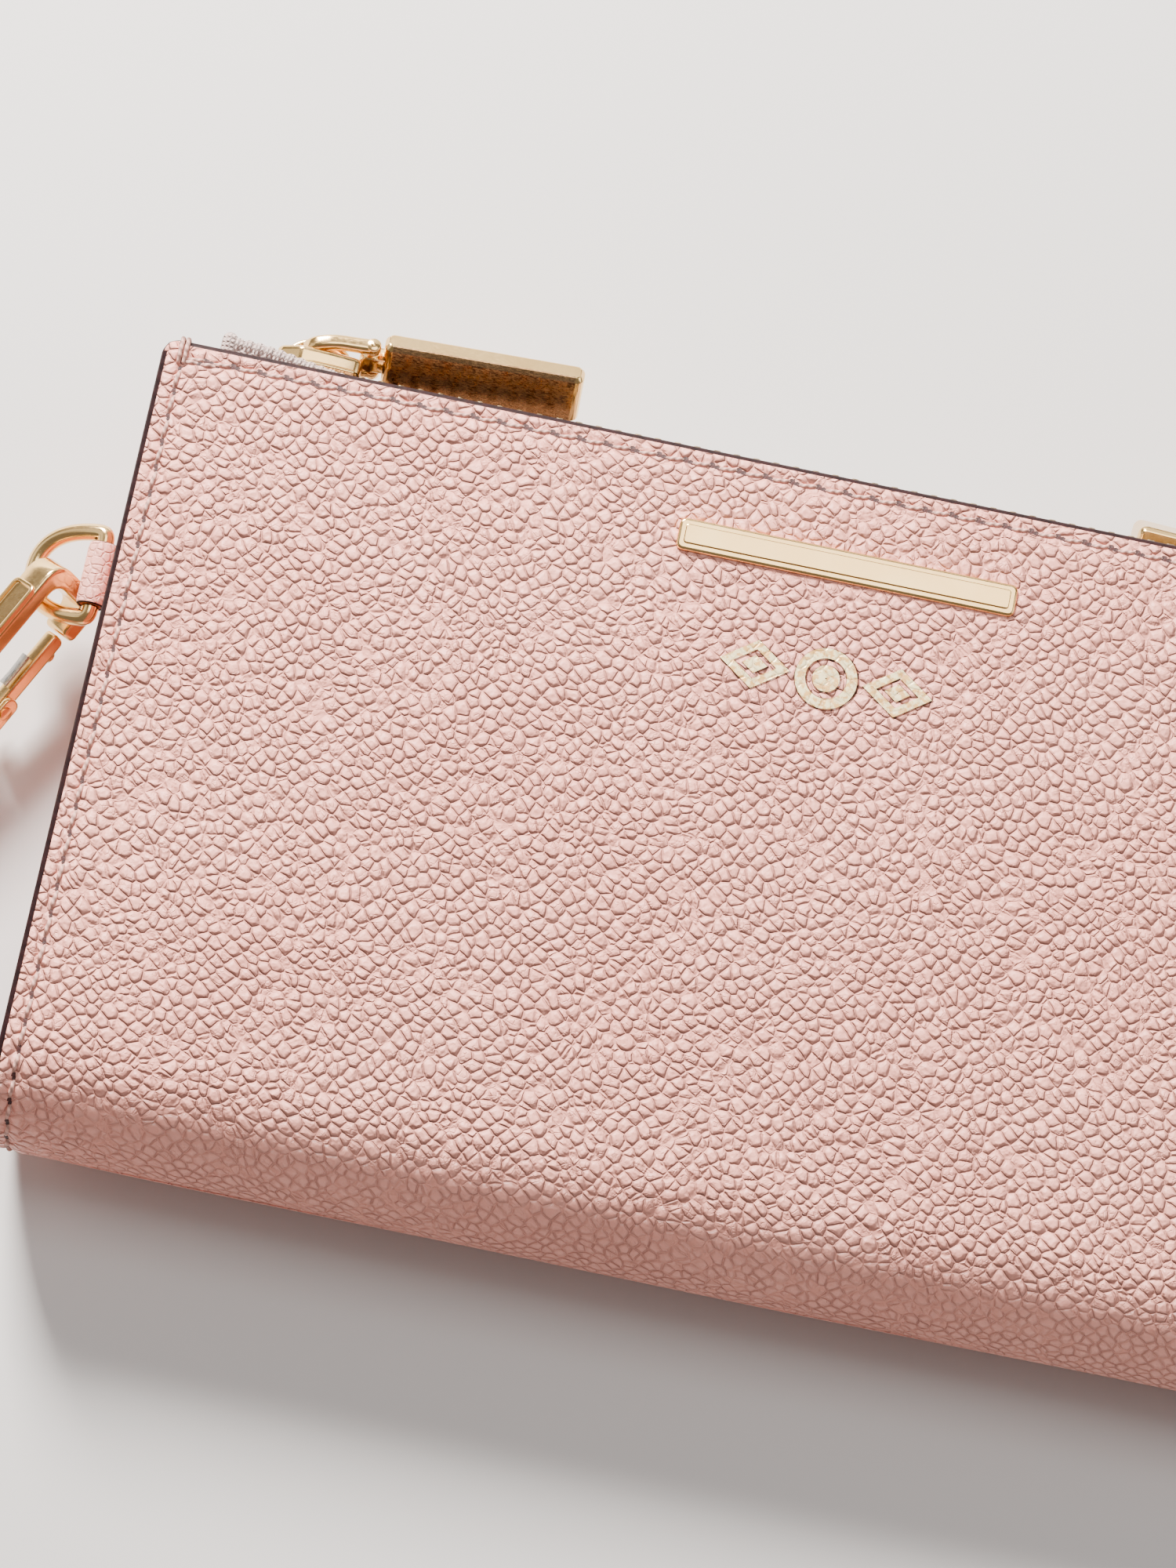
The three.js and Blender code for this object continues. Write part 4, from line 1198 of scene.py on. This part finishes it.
def zip_stop(prefix, word):
    node = f"front_zip_{word}_stop"
    low, high = corners(node)
    piece = Piece()
    place = basis((1, 0, 0), (0, 0, -1), (0, 1, 0), (0, 0, 0))
    outline = rounded_rect(low[0], high[0], -high[2], -low[2], 0.35, 3)
    add_slab(piece, outline, bevel_levels(low[1], high[1], 0.3, 3), place)
    obj = piece.make(f"{prefix}_{word}_clamp", [TEETH], "zip_teeth", TURN_OF[prefix], sharp=40)
    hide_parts(f"{prefix}_zip_{word}_stop")
    return obj


def slider_plan():
    """Plan of a slider plate in (x, z): wide shoulders at the mouth, narrower at the tail."""
    return filleted([(-5.45, -2.0, 1.5), (-2.4, -3.75, 1.6), (1.2, -3.45, 2.0), (5.45, -2.75, 1.1),
                     (5.45, 2.75, 1.1), (1.2, 3.45, 2.0), (-2.4, 3.75, 1.6), (-5.45, 2.0, 1.5)], 4)


def slider(prefix):
    low, high = corners("front_slider")
    centre_x = (low[0] + high[0]) / 2
    place = basis((1, 0, 0), (0, 0, 1), (0, -1, 0), (centre_x, CHAIN_Y, CHAIN_Z))
    piece = Piece()
    plan = slider_plan()
    dome = [(-2.55 - 0.75 * math.sin(a), 1.3 * (1 - math.cos(a))) for a in np.linspace(0.15, 1.25, 6)]
    upper = [(-1.05, 0.25), (-1.15, 0.05), (-2.35, 0.0)] + dome
    add_slab(piece, plan, upper[::-1], place)
    lower = [(1.05, 0.25), (1.15, 0.05), (1.8, 0.0), (2.1, 0.3), (2.3, 1.0)]
    add_slab(piece, plan, lower, place)
    for side in (-1, 1):
        for level in (-0.95, 0.95):
            path = [[x, side * (3.3 - 0.018 * (x + 1) ** 2), level] for x in np.linspace(-2.6, 4.6, 8)]
            add_sweep(piece, moved(place, path), circle(0.42, 10), side=(0, 1, 0))
    neck = rounded_rect(-5.2, -3.6, -0.55, 0.55, 0.4)
    add_slab(piece, neck, [(-1.2, 0), (1.2, 0)], place)
    top = high[1] - CHAIN_Y
    arch = smooth_path([[-4.2, 1.9], [-3.7, 3.4], [-2.2, top - 0.45], [0, top - 0.32], [2.2, top - 0.5],
                        [3.5, 3.3], [4.1, 1.9]], 28)
    path = [[centre_x + a, CHAIN_Y + b, CHAIN_Z] for a, b in arch]
    section = rounded_rect(-0.36, 0.36, -1.0, 1.0, 0.3, 3)
    add_sweep(piece, path, section[:, ::-1], side=(0, 0, 1))
    obj = piece.make(f"{prefix}_slider_body", [GOLD], "gold_metal", TURN_OF[prefix], sharp=40)
    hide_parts(f"{prefix}_slider")
    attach(obj, f"{prefix}_slider")


BAIL_ARM = 3.0
BAIL_DEEP = 1.9


def bail_frame():
    origin, pin = joint_place("front_bail_hinge"), joint_place("front_pull_hinge")
    z = joint_axis("front_bail_hinge")
    x = (pin - origin) / np.linalg.norm(pin - origin)
    z = z - x * (x @ z)
    z /= np.linalg.norm(z)
    return basis(x, np.cross(z, x), z, origin), np.linalg.norm(pin - origin)


def bail(prefix):
    place, reach = bail_frame()
    arm = BAIL_ARM
    points = [[reach + 0.3, 0.0, arm], [reach - 1.2, 0.06, arm], [reach / 2, 0.22, arm], [2.6, 0.10, arm],
              [1.0, -0.12, arm - 0.35], [0.15, -0.2, arm - 1.4], [0.0, -0.2, 0.0]]
    points += [[x, y, -z] for x, y, z in points[-2::-1]]
    path = moved(place, smooth_path(points, 80))
    piece = Piece()
    section = rounded_rect(-BAIL_DEEP / 2, BAIL_DEEP / 2, -0.75, 0.75, 0.6, 5)
    add_sweep(piece, path, section, side=place[:3, 1])
    eye = (reach + 0.35, 0.0, 0.0)
    drum = [(2.25, 0.88), (2.4, 1.0), (3.55, 1.0), (3.72, 0.9), (3.78, 0.82)]
    head = [(3.6, 1.0), (3.90, 1.0), (3.98, 0.6)]
    for side in (-1, 1):
        add_turned(piece, place, eye, (0, 0, side), drum, BAIL_DEEP / 2 + 0.03, 28)
        add_turned(piece, place, eye, (0, 0, side), head, 0.36, 16)
    add_turned(piece, place, (reach, 0, 0), (0, 0, 1), [(-arm, 1.0), (arm, 1.0)], 0.38, 12)
    obj = piece.make(f"{prefix}_bail_loop", [GOLD], "gold_metal", TURN_OF[prefix], sharp=40)
    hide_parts(f"{prefix}_bail")
    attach(obj, f"{prefix}_bail")


PLATE_ROLL = 25
PLATE_LIFT = 2.6
PLATE_START = 1.7
PLATE_LENGTH = 25.6
PLATE_WIDTH = 8.0
PLATE_THICK = 3.0
PLATE_CORNER_STEPS = 8


def pull_plate(prefix):
    roll = Matrix.Rotation(-math.radians(PLATE_ROLL), 4, "X")
    place = np.array(roll @ Matrix.Rotation(math.radians(PLATE_LIFT), 4, "Z"))
    place[:3, 3] = joint_place("front_pull_hinge")
    flat = place @ basis((1, 0, 0), (0, 0, 1), (0, -1, 0), (0, 0, 0))
    piece = Piece()
    half, thick = PLATE_WIDTH / 2, PLATE_THICK / 2
    outline = rounded_rect(PLATE_START, PLATE_START + PLATE_LENGTH, -thick, thick, 1.1,
                           PLATE_CORNER_STEPS)
    edge = [(half - 0.62, 0.0), (half - 0.55, 0.03), (half - 0.12, 0.40), (half - 0.05, 0.47), (half, 0.60)]
    levels = [(-z, inset) for z, inset in reversed(edge)] + edge
    add_slab(piece, outline, levels, place)
    # The straight side after the outline's first corner is the plate's back, towards the wallet. It gets
    # the dark brown gold: painted shade and painted reflection of the zip under it.
    for row in range(len(levels) + 1):
        piece.slots[row * len(outline) + PLATE_CORNER_STEPS] = 1
    tongue = filleted([(-1.35, -1.2, 1.15), (PLATE_START + 0.6, -1.2, 0), (PLATE_START + 0.6, 1.2, 0),
                       (-1.35, 1.2, 1.15)], 8)
    add_slab(piece, tongue, bevel_levels(-1.25, 1.25, 0.3), flat)
    collar = [[x, 0, 0] for x in (0.9, 1.1, PLATE_START + 0.1)]
    add_sweep(piece, moved(place, collar), circle(1.35, 20, 1.2), side=(0, 1, 0), scale=[0.85, 1.0, 1.15])
    barrel = [(-1.3, 0.9), (-1.15, 1.0), (1.15, 1.0), (1.3, 0.9)]
    add_turned(piece, place, (0, 0, 0), (0, 0, 1), barrel, 1.28, 20)
    obj = piece.make(f"{prefix}_pull_bar", [GOLD, PLATE_BACK_SHADE], "gold_metal", TURN_OF[prefix], sharp=18)
    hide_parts(f"{prefix}_pull_plate")
    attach(obj, f"{prefix}_pull")


ZIP_SEWN = 81
ZIP_FREE = 30


def zip_parts(prefix):
    made = {word: [make(prefix, word) for make in (zip_tape, zip_teeth, zip_stop)] for word in SIDE_OF}
    for obj in made["inner"] + [zip_stop(prefix, "end")]:
        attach(obj, "core")
    sign = 1 if prefix == "front" else -1
    for obj in made["outer"]:
        bend(obj, prefix, (sign * ZIP_SEWN * MM, 0, 0), (sign * ZIP_FREE * MM, 0, 0))
    slider(prefix)
    bail(prefix)
    pull_plate(prefix)


zip_parts("front")
zip_parts("back")


# ---- D-ring and its tab ---------------------------------------------------------------------
RING_WIRE = 2.2
RING_HALF = 5.6
RING_REACH = 9.0
RING_DROOP = math.radians(20)


def bezier(p0, p1, p2, p3, count):
    t = np.linspace(0, 1, count, endpoint=False)[:, None]
    p0, p1, p2, p3 = (np.array(p, float) for p in (p0, p1, p2, p3))
    return (1 - t) ** 3 * p0 + 3 * t * (1 - t) ** 2 * p1 + 3 * t ** 2 * (1 - t) * p2 + t ** 3 * p3


def d_ring():
    h, r = RING_HALF, RING_REACH
    straight = np.linspace([0, h - 1.2], [0, -h + 1.2], 12, endpoint=False)
    outline = np.vstack([
        straight,
        bezier((0, -h + 1.2), (0, -h), (0.4, -h - 0.1), (1.6, -h - 0.1), 14),
        bezier((1.6, -h - 0.1), (r - 2.2, -h), (r, -3.2), (r, 0), 26),
        bezier((r, 0), (r, 3.2), (r - 2.2, h), (1.6, h + 0.1), 26),
        bezier((1.6, h + 0.1), (0.4, h + 0.1), (0, h), (0, h - 1.2), 14)])
    x = np.array([-math.cos(RING_DROOP), 0, -math.sin(RING_DROOP)])
    y = np.array([0, -1.0, 0])
    place = basis(x, y, np.cross(x, y), joint_place("ring_swing"))
    path = moved(place, np.column_stack([outline, np.zeros(len(outline))]))
    piece = Piece()
    add_sweep(piece, path, circle(RING_WIRE / 2, 20), closed=True, side=place[:3, 2])
    obj = piece.make("d_ring_wire", [GOLD], "gold_metal")
    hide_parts("d_ring")
    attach(obj, "ring")


def ring_tab():
    """A strip of leather folded round the ring's straight bar, its two tails sewn in the seam."""
    low, high = corners("ring_tab")
    centre = joint_place("ring_swing")
    middle_r, thick, tail = 1.62, 0.65, 0.45
    reach = high[0] - centre[0]
    bend_start = math.asin(tail / middle_r)
    around = np.linspace(bend_start, math.tau - bend_start, 40)
    loop = np.stack([middle_r * np.cos(around), middle_r * np.sin(around)], 1)
    upper = np.linspace([reach, tail], [middle_r * math.cos(bend_start) + 0.6, tail], 14)
    lower = upper[::-1] * [1, -1]
    path = smooth_path(np.vstack([upper, loop, lower]), 90)
    normal = flat_normals(path)
    ys = graded(low[1] + 0.15, high[1] - 0.15, 0.25, 0.7, 1.0)
    inward = np.minimum(ys - ys[0], ys[-1] - ys)
    soften = 0.10 * (1 - step(inward, 0, 0.8))
    run = np.linspace(0, 1, len(path)) * np.linalg.norm(np.diff(path, axis=0), axis=1).sum()

    def face(offset, pull):
        rows = []
        for k, y in enumerate(ys):
            shifted = path + normal * (offset - pull * soften[k])
            x, z = centre[0] + shifted[:, 0], centre[2] + shifted[:, 1]
            rows.append(np.stack([x, np.full(len(path), y), z], 1))
        return np.array(rows)

    hide = hide_places(run[None], ys[:, None])
    piece = Piece()
    add_closed_sheet(piece, face(thick / 2, 1), face(-thick / 2 + 0.03, -1), hide, 0.14)
    obj = piece.make("ring_tab_loop", [SMOOTH, EDGE], "smooth_leather")
    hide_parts("ring_tab")
    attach(obj, "core")


d_ring()
ring_tab()


# ---- snap hook --------------------------------------------------------------------------------
HOOK_U = joint_axis("hook_swivel")
HOOK_W = joint_axis("hook_swing")
HOOK_V = np.cross(HOOK_W, HOOK_U)
HOOK_PLACE = basis(HOOK_U, HOOK_V, HOOK_W, joint_place("hook_swivel"))
HOOK_LENGTH = 27.0
HOOK_HALF = 5.25
HOOK_BAR = 2.4
HOOK_THICK = 2.2
HOOK_HEAD = 22.0
GATE_START = 7.0
GATE_PIVOT = 18.9
GATE_V = HOOK_HALF - HOOK_BAR / 2
KNOB_U = 9.6
EAR_START = 16.8
NOSE_END = 6.6


def hook_body():
    """The hook's frame drawn as one outline with its mouth open, in (u, v)."""
    h, bar = HOOK_HALF, HOOK_BAR
    outline = filleted([
        (0, -h, 2.8), (HOOK_LENGTH, -h, 2.2), (HOOK_LENGTH, h, 2.8), (EAR_START + 4.6, h, 0.8),
        (EAR_START + 4.6, h - bar, 0.8), (HOOK_HEAD, h - bar - 0.6, 0.5), (HOOK_HEAD, -h + bar, 1.4),
        (bar, -h + bar, 1.6), (bar, h - bar, 1.2), (NOSE_END, h - bar, 0.75), (NOSE_END, h, 0.8),
        (0, h, 2.8)], 5)
    piece = Piece()
    levels = bevel_levels(-HOOK_THICK, HOOK_THICK, 0.55, 4)
    add_slab(piece, outline, levels, HOOK_PLACE)
    for side in (-1, 1):
        ear = filleted([(EAR_START, h - bar + 0.05, 1.0), (EAR_START + 5.2, h - bar + 0.05, 0.4),
                        (EAR_START + 5.2, h, 0.4), (EAR_START, h, 1.0)], 4)
        low, high = sorted((side * 1.35, side * HOOK_THICK))
        add_slab(piece, ear, bevel_levels(low, high, 0.25, 3), HOOK_PLACE)
    plaque(piece)
    obj = piece.make("hook_body", [GOLD], "gold_metal", sharp=35)
    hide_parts("hook")
    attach(obj, "hook")


def plaque(piece):
    """The long flat bar on the hook's closed side, with a raised border round a blank field."""
    face = HOOK_PLACE @ basis((1, 0, 0), (0, 0, 1), (0, -1, 0), (0, -HOOK_HALF, 0))
    outline = rounded_rect(4.6, 23.4, -HOOK_THICK + 0.1, HOOK_THICK - 0.1, 1.0, 5)
    levels = [(-0.5, 0.0), (0.30, 0.0), (0.42, 0.05), (0.48, 0.16), (0.48, 0.42), (0.42, 0.52),
              (0.12, 0.62), (0.08, 0.75)]
    add_slab(piece, outline, levels, face)


def gate():
    outer, inner = HOOK_HALF - 0.1, HOOK_HALF - 2.1
    outline = filleted([(GATE_START, inner, 0.5), (GATE_PIVOT + 1.0, inner, 0.9),
                        (GATE_PIVOT + 1.0, outer, 0.9), (GATE_START, outer, 0.8)], 5)
    piece = Piece()
    add_slab(piece, outline, bevel_levels(-1.05, 1.05, 0.35), HOOK_PLACE)
    knob = [(-0.2, 1.0), (0.25, 1.0), (0.5, 0.8), (0.62, 0.4)]
    add_turned(piece, HOOK_PLACE, (KNOB_U, outer, 0), (0, 1, 0), knob, 0.95, 18)
    obj = piece.make("hook_gate_blade", [GOLD], "gold_metal", sharp=35)
    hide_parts("hook_gate")
    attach(obj, "gate")


def gate_rivet():
    piece = Piece()
    steps = [(-2.45, 0.6), (-2.4, 0.9), (-2.1, 1.0), (2.1, 1.0), (2.4, 0.9), (2.45, 0.6)]
    add_turned(piece, HOOK_PLACE, (GATE_PIVOT, GATE_V, 0), (0, 0, 1), steps, 0.95, 20)
    obj = piece.make("gate_rivet_pin", [GOLD], "gold_metal")
    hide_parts("gate_rivet")
    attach(obj, "hook")


def gate_spring():
    low_v = HOOK_HALF - HOOK_BAR - 0.6
    bow = [(11.4, 0.05), (13.0, 0.18), (14.6, 0.2), (16.1, 0.12)]
    path = moved(HOOK_PLACE, smooth_path([[u, low_v + rise, 0] for u, rise in bow], 16))
    piece = Piece()
    add_sweep(piece, path, rounded_rect(-0.14, 0.14, -0.7, 0.7, 0.1, 2)[:, ::-1], side=HOOK_W)
    obj = piece.make("gate_spring_leaf", [STEEL], "spring_steel")
    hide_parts("gate_spring")
    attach(obj, "hook")


hook_body()
gate()
gate_rivet()
gate_spring()


# ---- swivel ring ---------------------------------------------------------------------------------
UP = joint_axis("strap_hinge")
SWIVEL_PLACE = basis(HOOK_U, UP, np.cross(HOOK_U, UP), joint_place("hook_swivel"))
SWIVEL_START = HOOK_LENGTH + 0.6
SWIVEL_LENGTH = 9.0
SWIVEL_HALF = 6.6
SWIVEL_WIRE = 1.6


def swivel_ring():
    start, end, tall, wire = SWIVEL_START, SWIVEL_START + SWIVEL_LENGTH, SWIVEL_HALF, SWIVEL_WIRE / 2
    outline = rounded_rect(start + wire, end - wire, -tall + wire, tall - wire, 1.3, 8)
    path = smooth_path(outline, 120, closed=True)
    path = moved(SWIVEL_PLACE, np.column_stack([path, np.zeros(len(path))]))
    piece = Piece()
    add_sweep(piece, path, circle(wire, 16), closed=True, side=SWIVEL_PLACE[:3, 2])
    post = [(20.7, 1.5), (20.8, 1.75), (21.5, 1.75), (21.7, 1.5), (21.75, 1.0), (start + 0.8, 1.0)]
    add_turned(piece, SWIVEL_PLACE, (0, 0, 0), (1, 0, 0), post, 1.0, 18)
    collar = [(start - 0.5, 0.8), (start - 0.4, 1.0), (start + 1.2, 1.0), (start + 1.6, 0.6)]
    add_turned(piece, SWIVEL_PLACE, (0, 0, 0), (1, 0, 0), collar, 1.5, 20)
    obj = piece.make("swivel_loop", [GOLD], "gold_metal", sharp=40)
    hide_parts("swivel_ring")
    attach(obj, "swivel")


swivel_ring()


# ---- wrist strap -----------------------------------------------------------------------------------
STRAP_HEADING = math.radians(18)
STRAP_WIDTH = 8.4
STRAP_THICK = 2.2
STRAP_SEAM = 1.7
STRAP_FAR = 122
RIVET_S = 13
NECK = (STRAP_THICK + 0.1) / 2
STRAP_LINE = [(20, NECK), (9, NECK), (5.2, 1.9), (2.2, 3.1), (-1.4, 3.0), (-3.4, 0),
              (-1.4, -3.0), (2.2, -3.1), (5.2, -1.9), (9, -NECK), (20, -NECK), (24, -NECK - 0.1),
              (40, -7), (60, -24), (85, -34), (108, -27), (STRAP_FAR, 0), (108, 27), (85, 34), (60, 24),
              (40, 7), (24, NECK + 0.1), (20.8, NECK)]


def strap_place():
    origin = joint_place("strap_hinge")
    lean = math.asin((origin[2] - STRAP_WIDTH / 2 - 0.1) / (STRAP_FAR + STRAP_THICK))
    s = np.array([-math.sin(STRAP_HEADING) * math.cos(lean), -math.cos(STRAP_HEADING) * math.cos(lean),
                  -math.sin(lean)])
    t = np.array([math.cos(STRAP_HEADING), -math.sin(STRAP_HEADING), 0])
    return basis(s, t, np.cross(s, t), origin)


def strap():
    place = strap_place()
    line = smooth_path(STRAP_LINE, 330)
    normal = flat_normals(line)
    half = STRAP_WIDTH / 2
    across = graded(-half + 0.1, half - 0.1, 0.25, 0.8, 1.5)
    inward = half - np.abs(across)
    run = run_along(line)
    pucker = 0.75 + 0.25 * np.cos(math.tau * run / PITCH)

    def face(side):
        rows = []
        for k in range(len(across)):
            groove = 0.16 * math.exp(-(((inward[k] - STRAP_SEAM) / 0.5) ** 2)) * pucker
            soft = 0.28 * float(1 - step(inward[k], 0, 1.1)) ** 1.5
            reach = STRAP_THICK / 2 - groove - soft
            points = line + normal * (side * reach)[:, None]
            rows.append(moved(place, np.column_stack([points, np.full(len(line), across[k])])))
        return np.array(rows)

    hide = hide_places(run[None], across[:, None], 30.0)
    piece = Piece()
    add_closed_sheet(piece, face(1), face(-1), hide, 0.22)
    obj = piece.make("wrist_strap_band", [SMOOTH, EDGE], "smooth_leather")
    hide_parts("wrist_strap")
    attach(obj, "strap")
    thread = Piece()
    t = np.linspace(0, 1, 7)
    arch = np.sin(np.pi * t) ** 0.5
    for edge in (-1, 1):
        for side in (-1, 1):
            for start in np.arange(2.0, run[-1] - 4.0, PITCH):
                at = start + 2.7 * t
                centre = np.stack([np.interp(at, run, line[:, k]) for k in range(2)], 1)
                out = np.stack([np.interp(at, run, normal[:, k]) for k in range(2)], 1)
                lift = STRAP_THICK / 2 - 0.34 + 0.36 * arch
                points = centre + out * (side * lift)[:, None]
                height = edge * (half - STRAP_SEAM) + 0.12 * (0.5 - t)
                add_sweep(thread, moved(place, np.column_stack([points, height])), circle(0.24, 6),
                          side=place[:3, 2], scale=0.5 + 0.5 * arch)
    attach(thread.make("wrist_strap_stitches", [THREAD], "thread"), "strap")


def strap_rivet():
    place = strap_place()
    piece = Piece()
    reach = STRAP_THICK + 0.05
    cap = [(reach + 0.25, 0.42), (reach + 0.3, 1.0), (reach + 0.8, 0.88), (reach + 0.95, 0.55)]
    steps = [(-way, share) for way, share in reversed(cap)] + cap
    add_turned(piece, place, (RIVET_S, 0, 0), (0, 1, 0), steps, 2.4, 28)
    obj = piece.make("strap_rivet_caps", [GOLD], "gold_metal", sharp=40)
    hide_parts("strap_rivet")
    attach(obj, "strap")


strap()
strap_rivet()
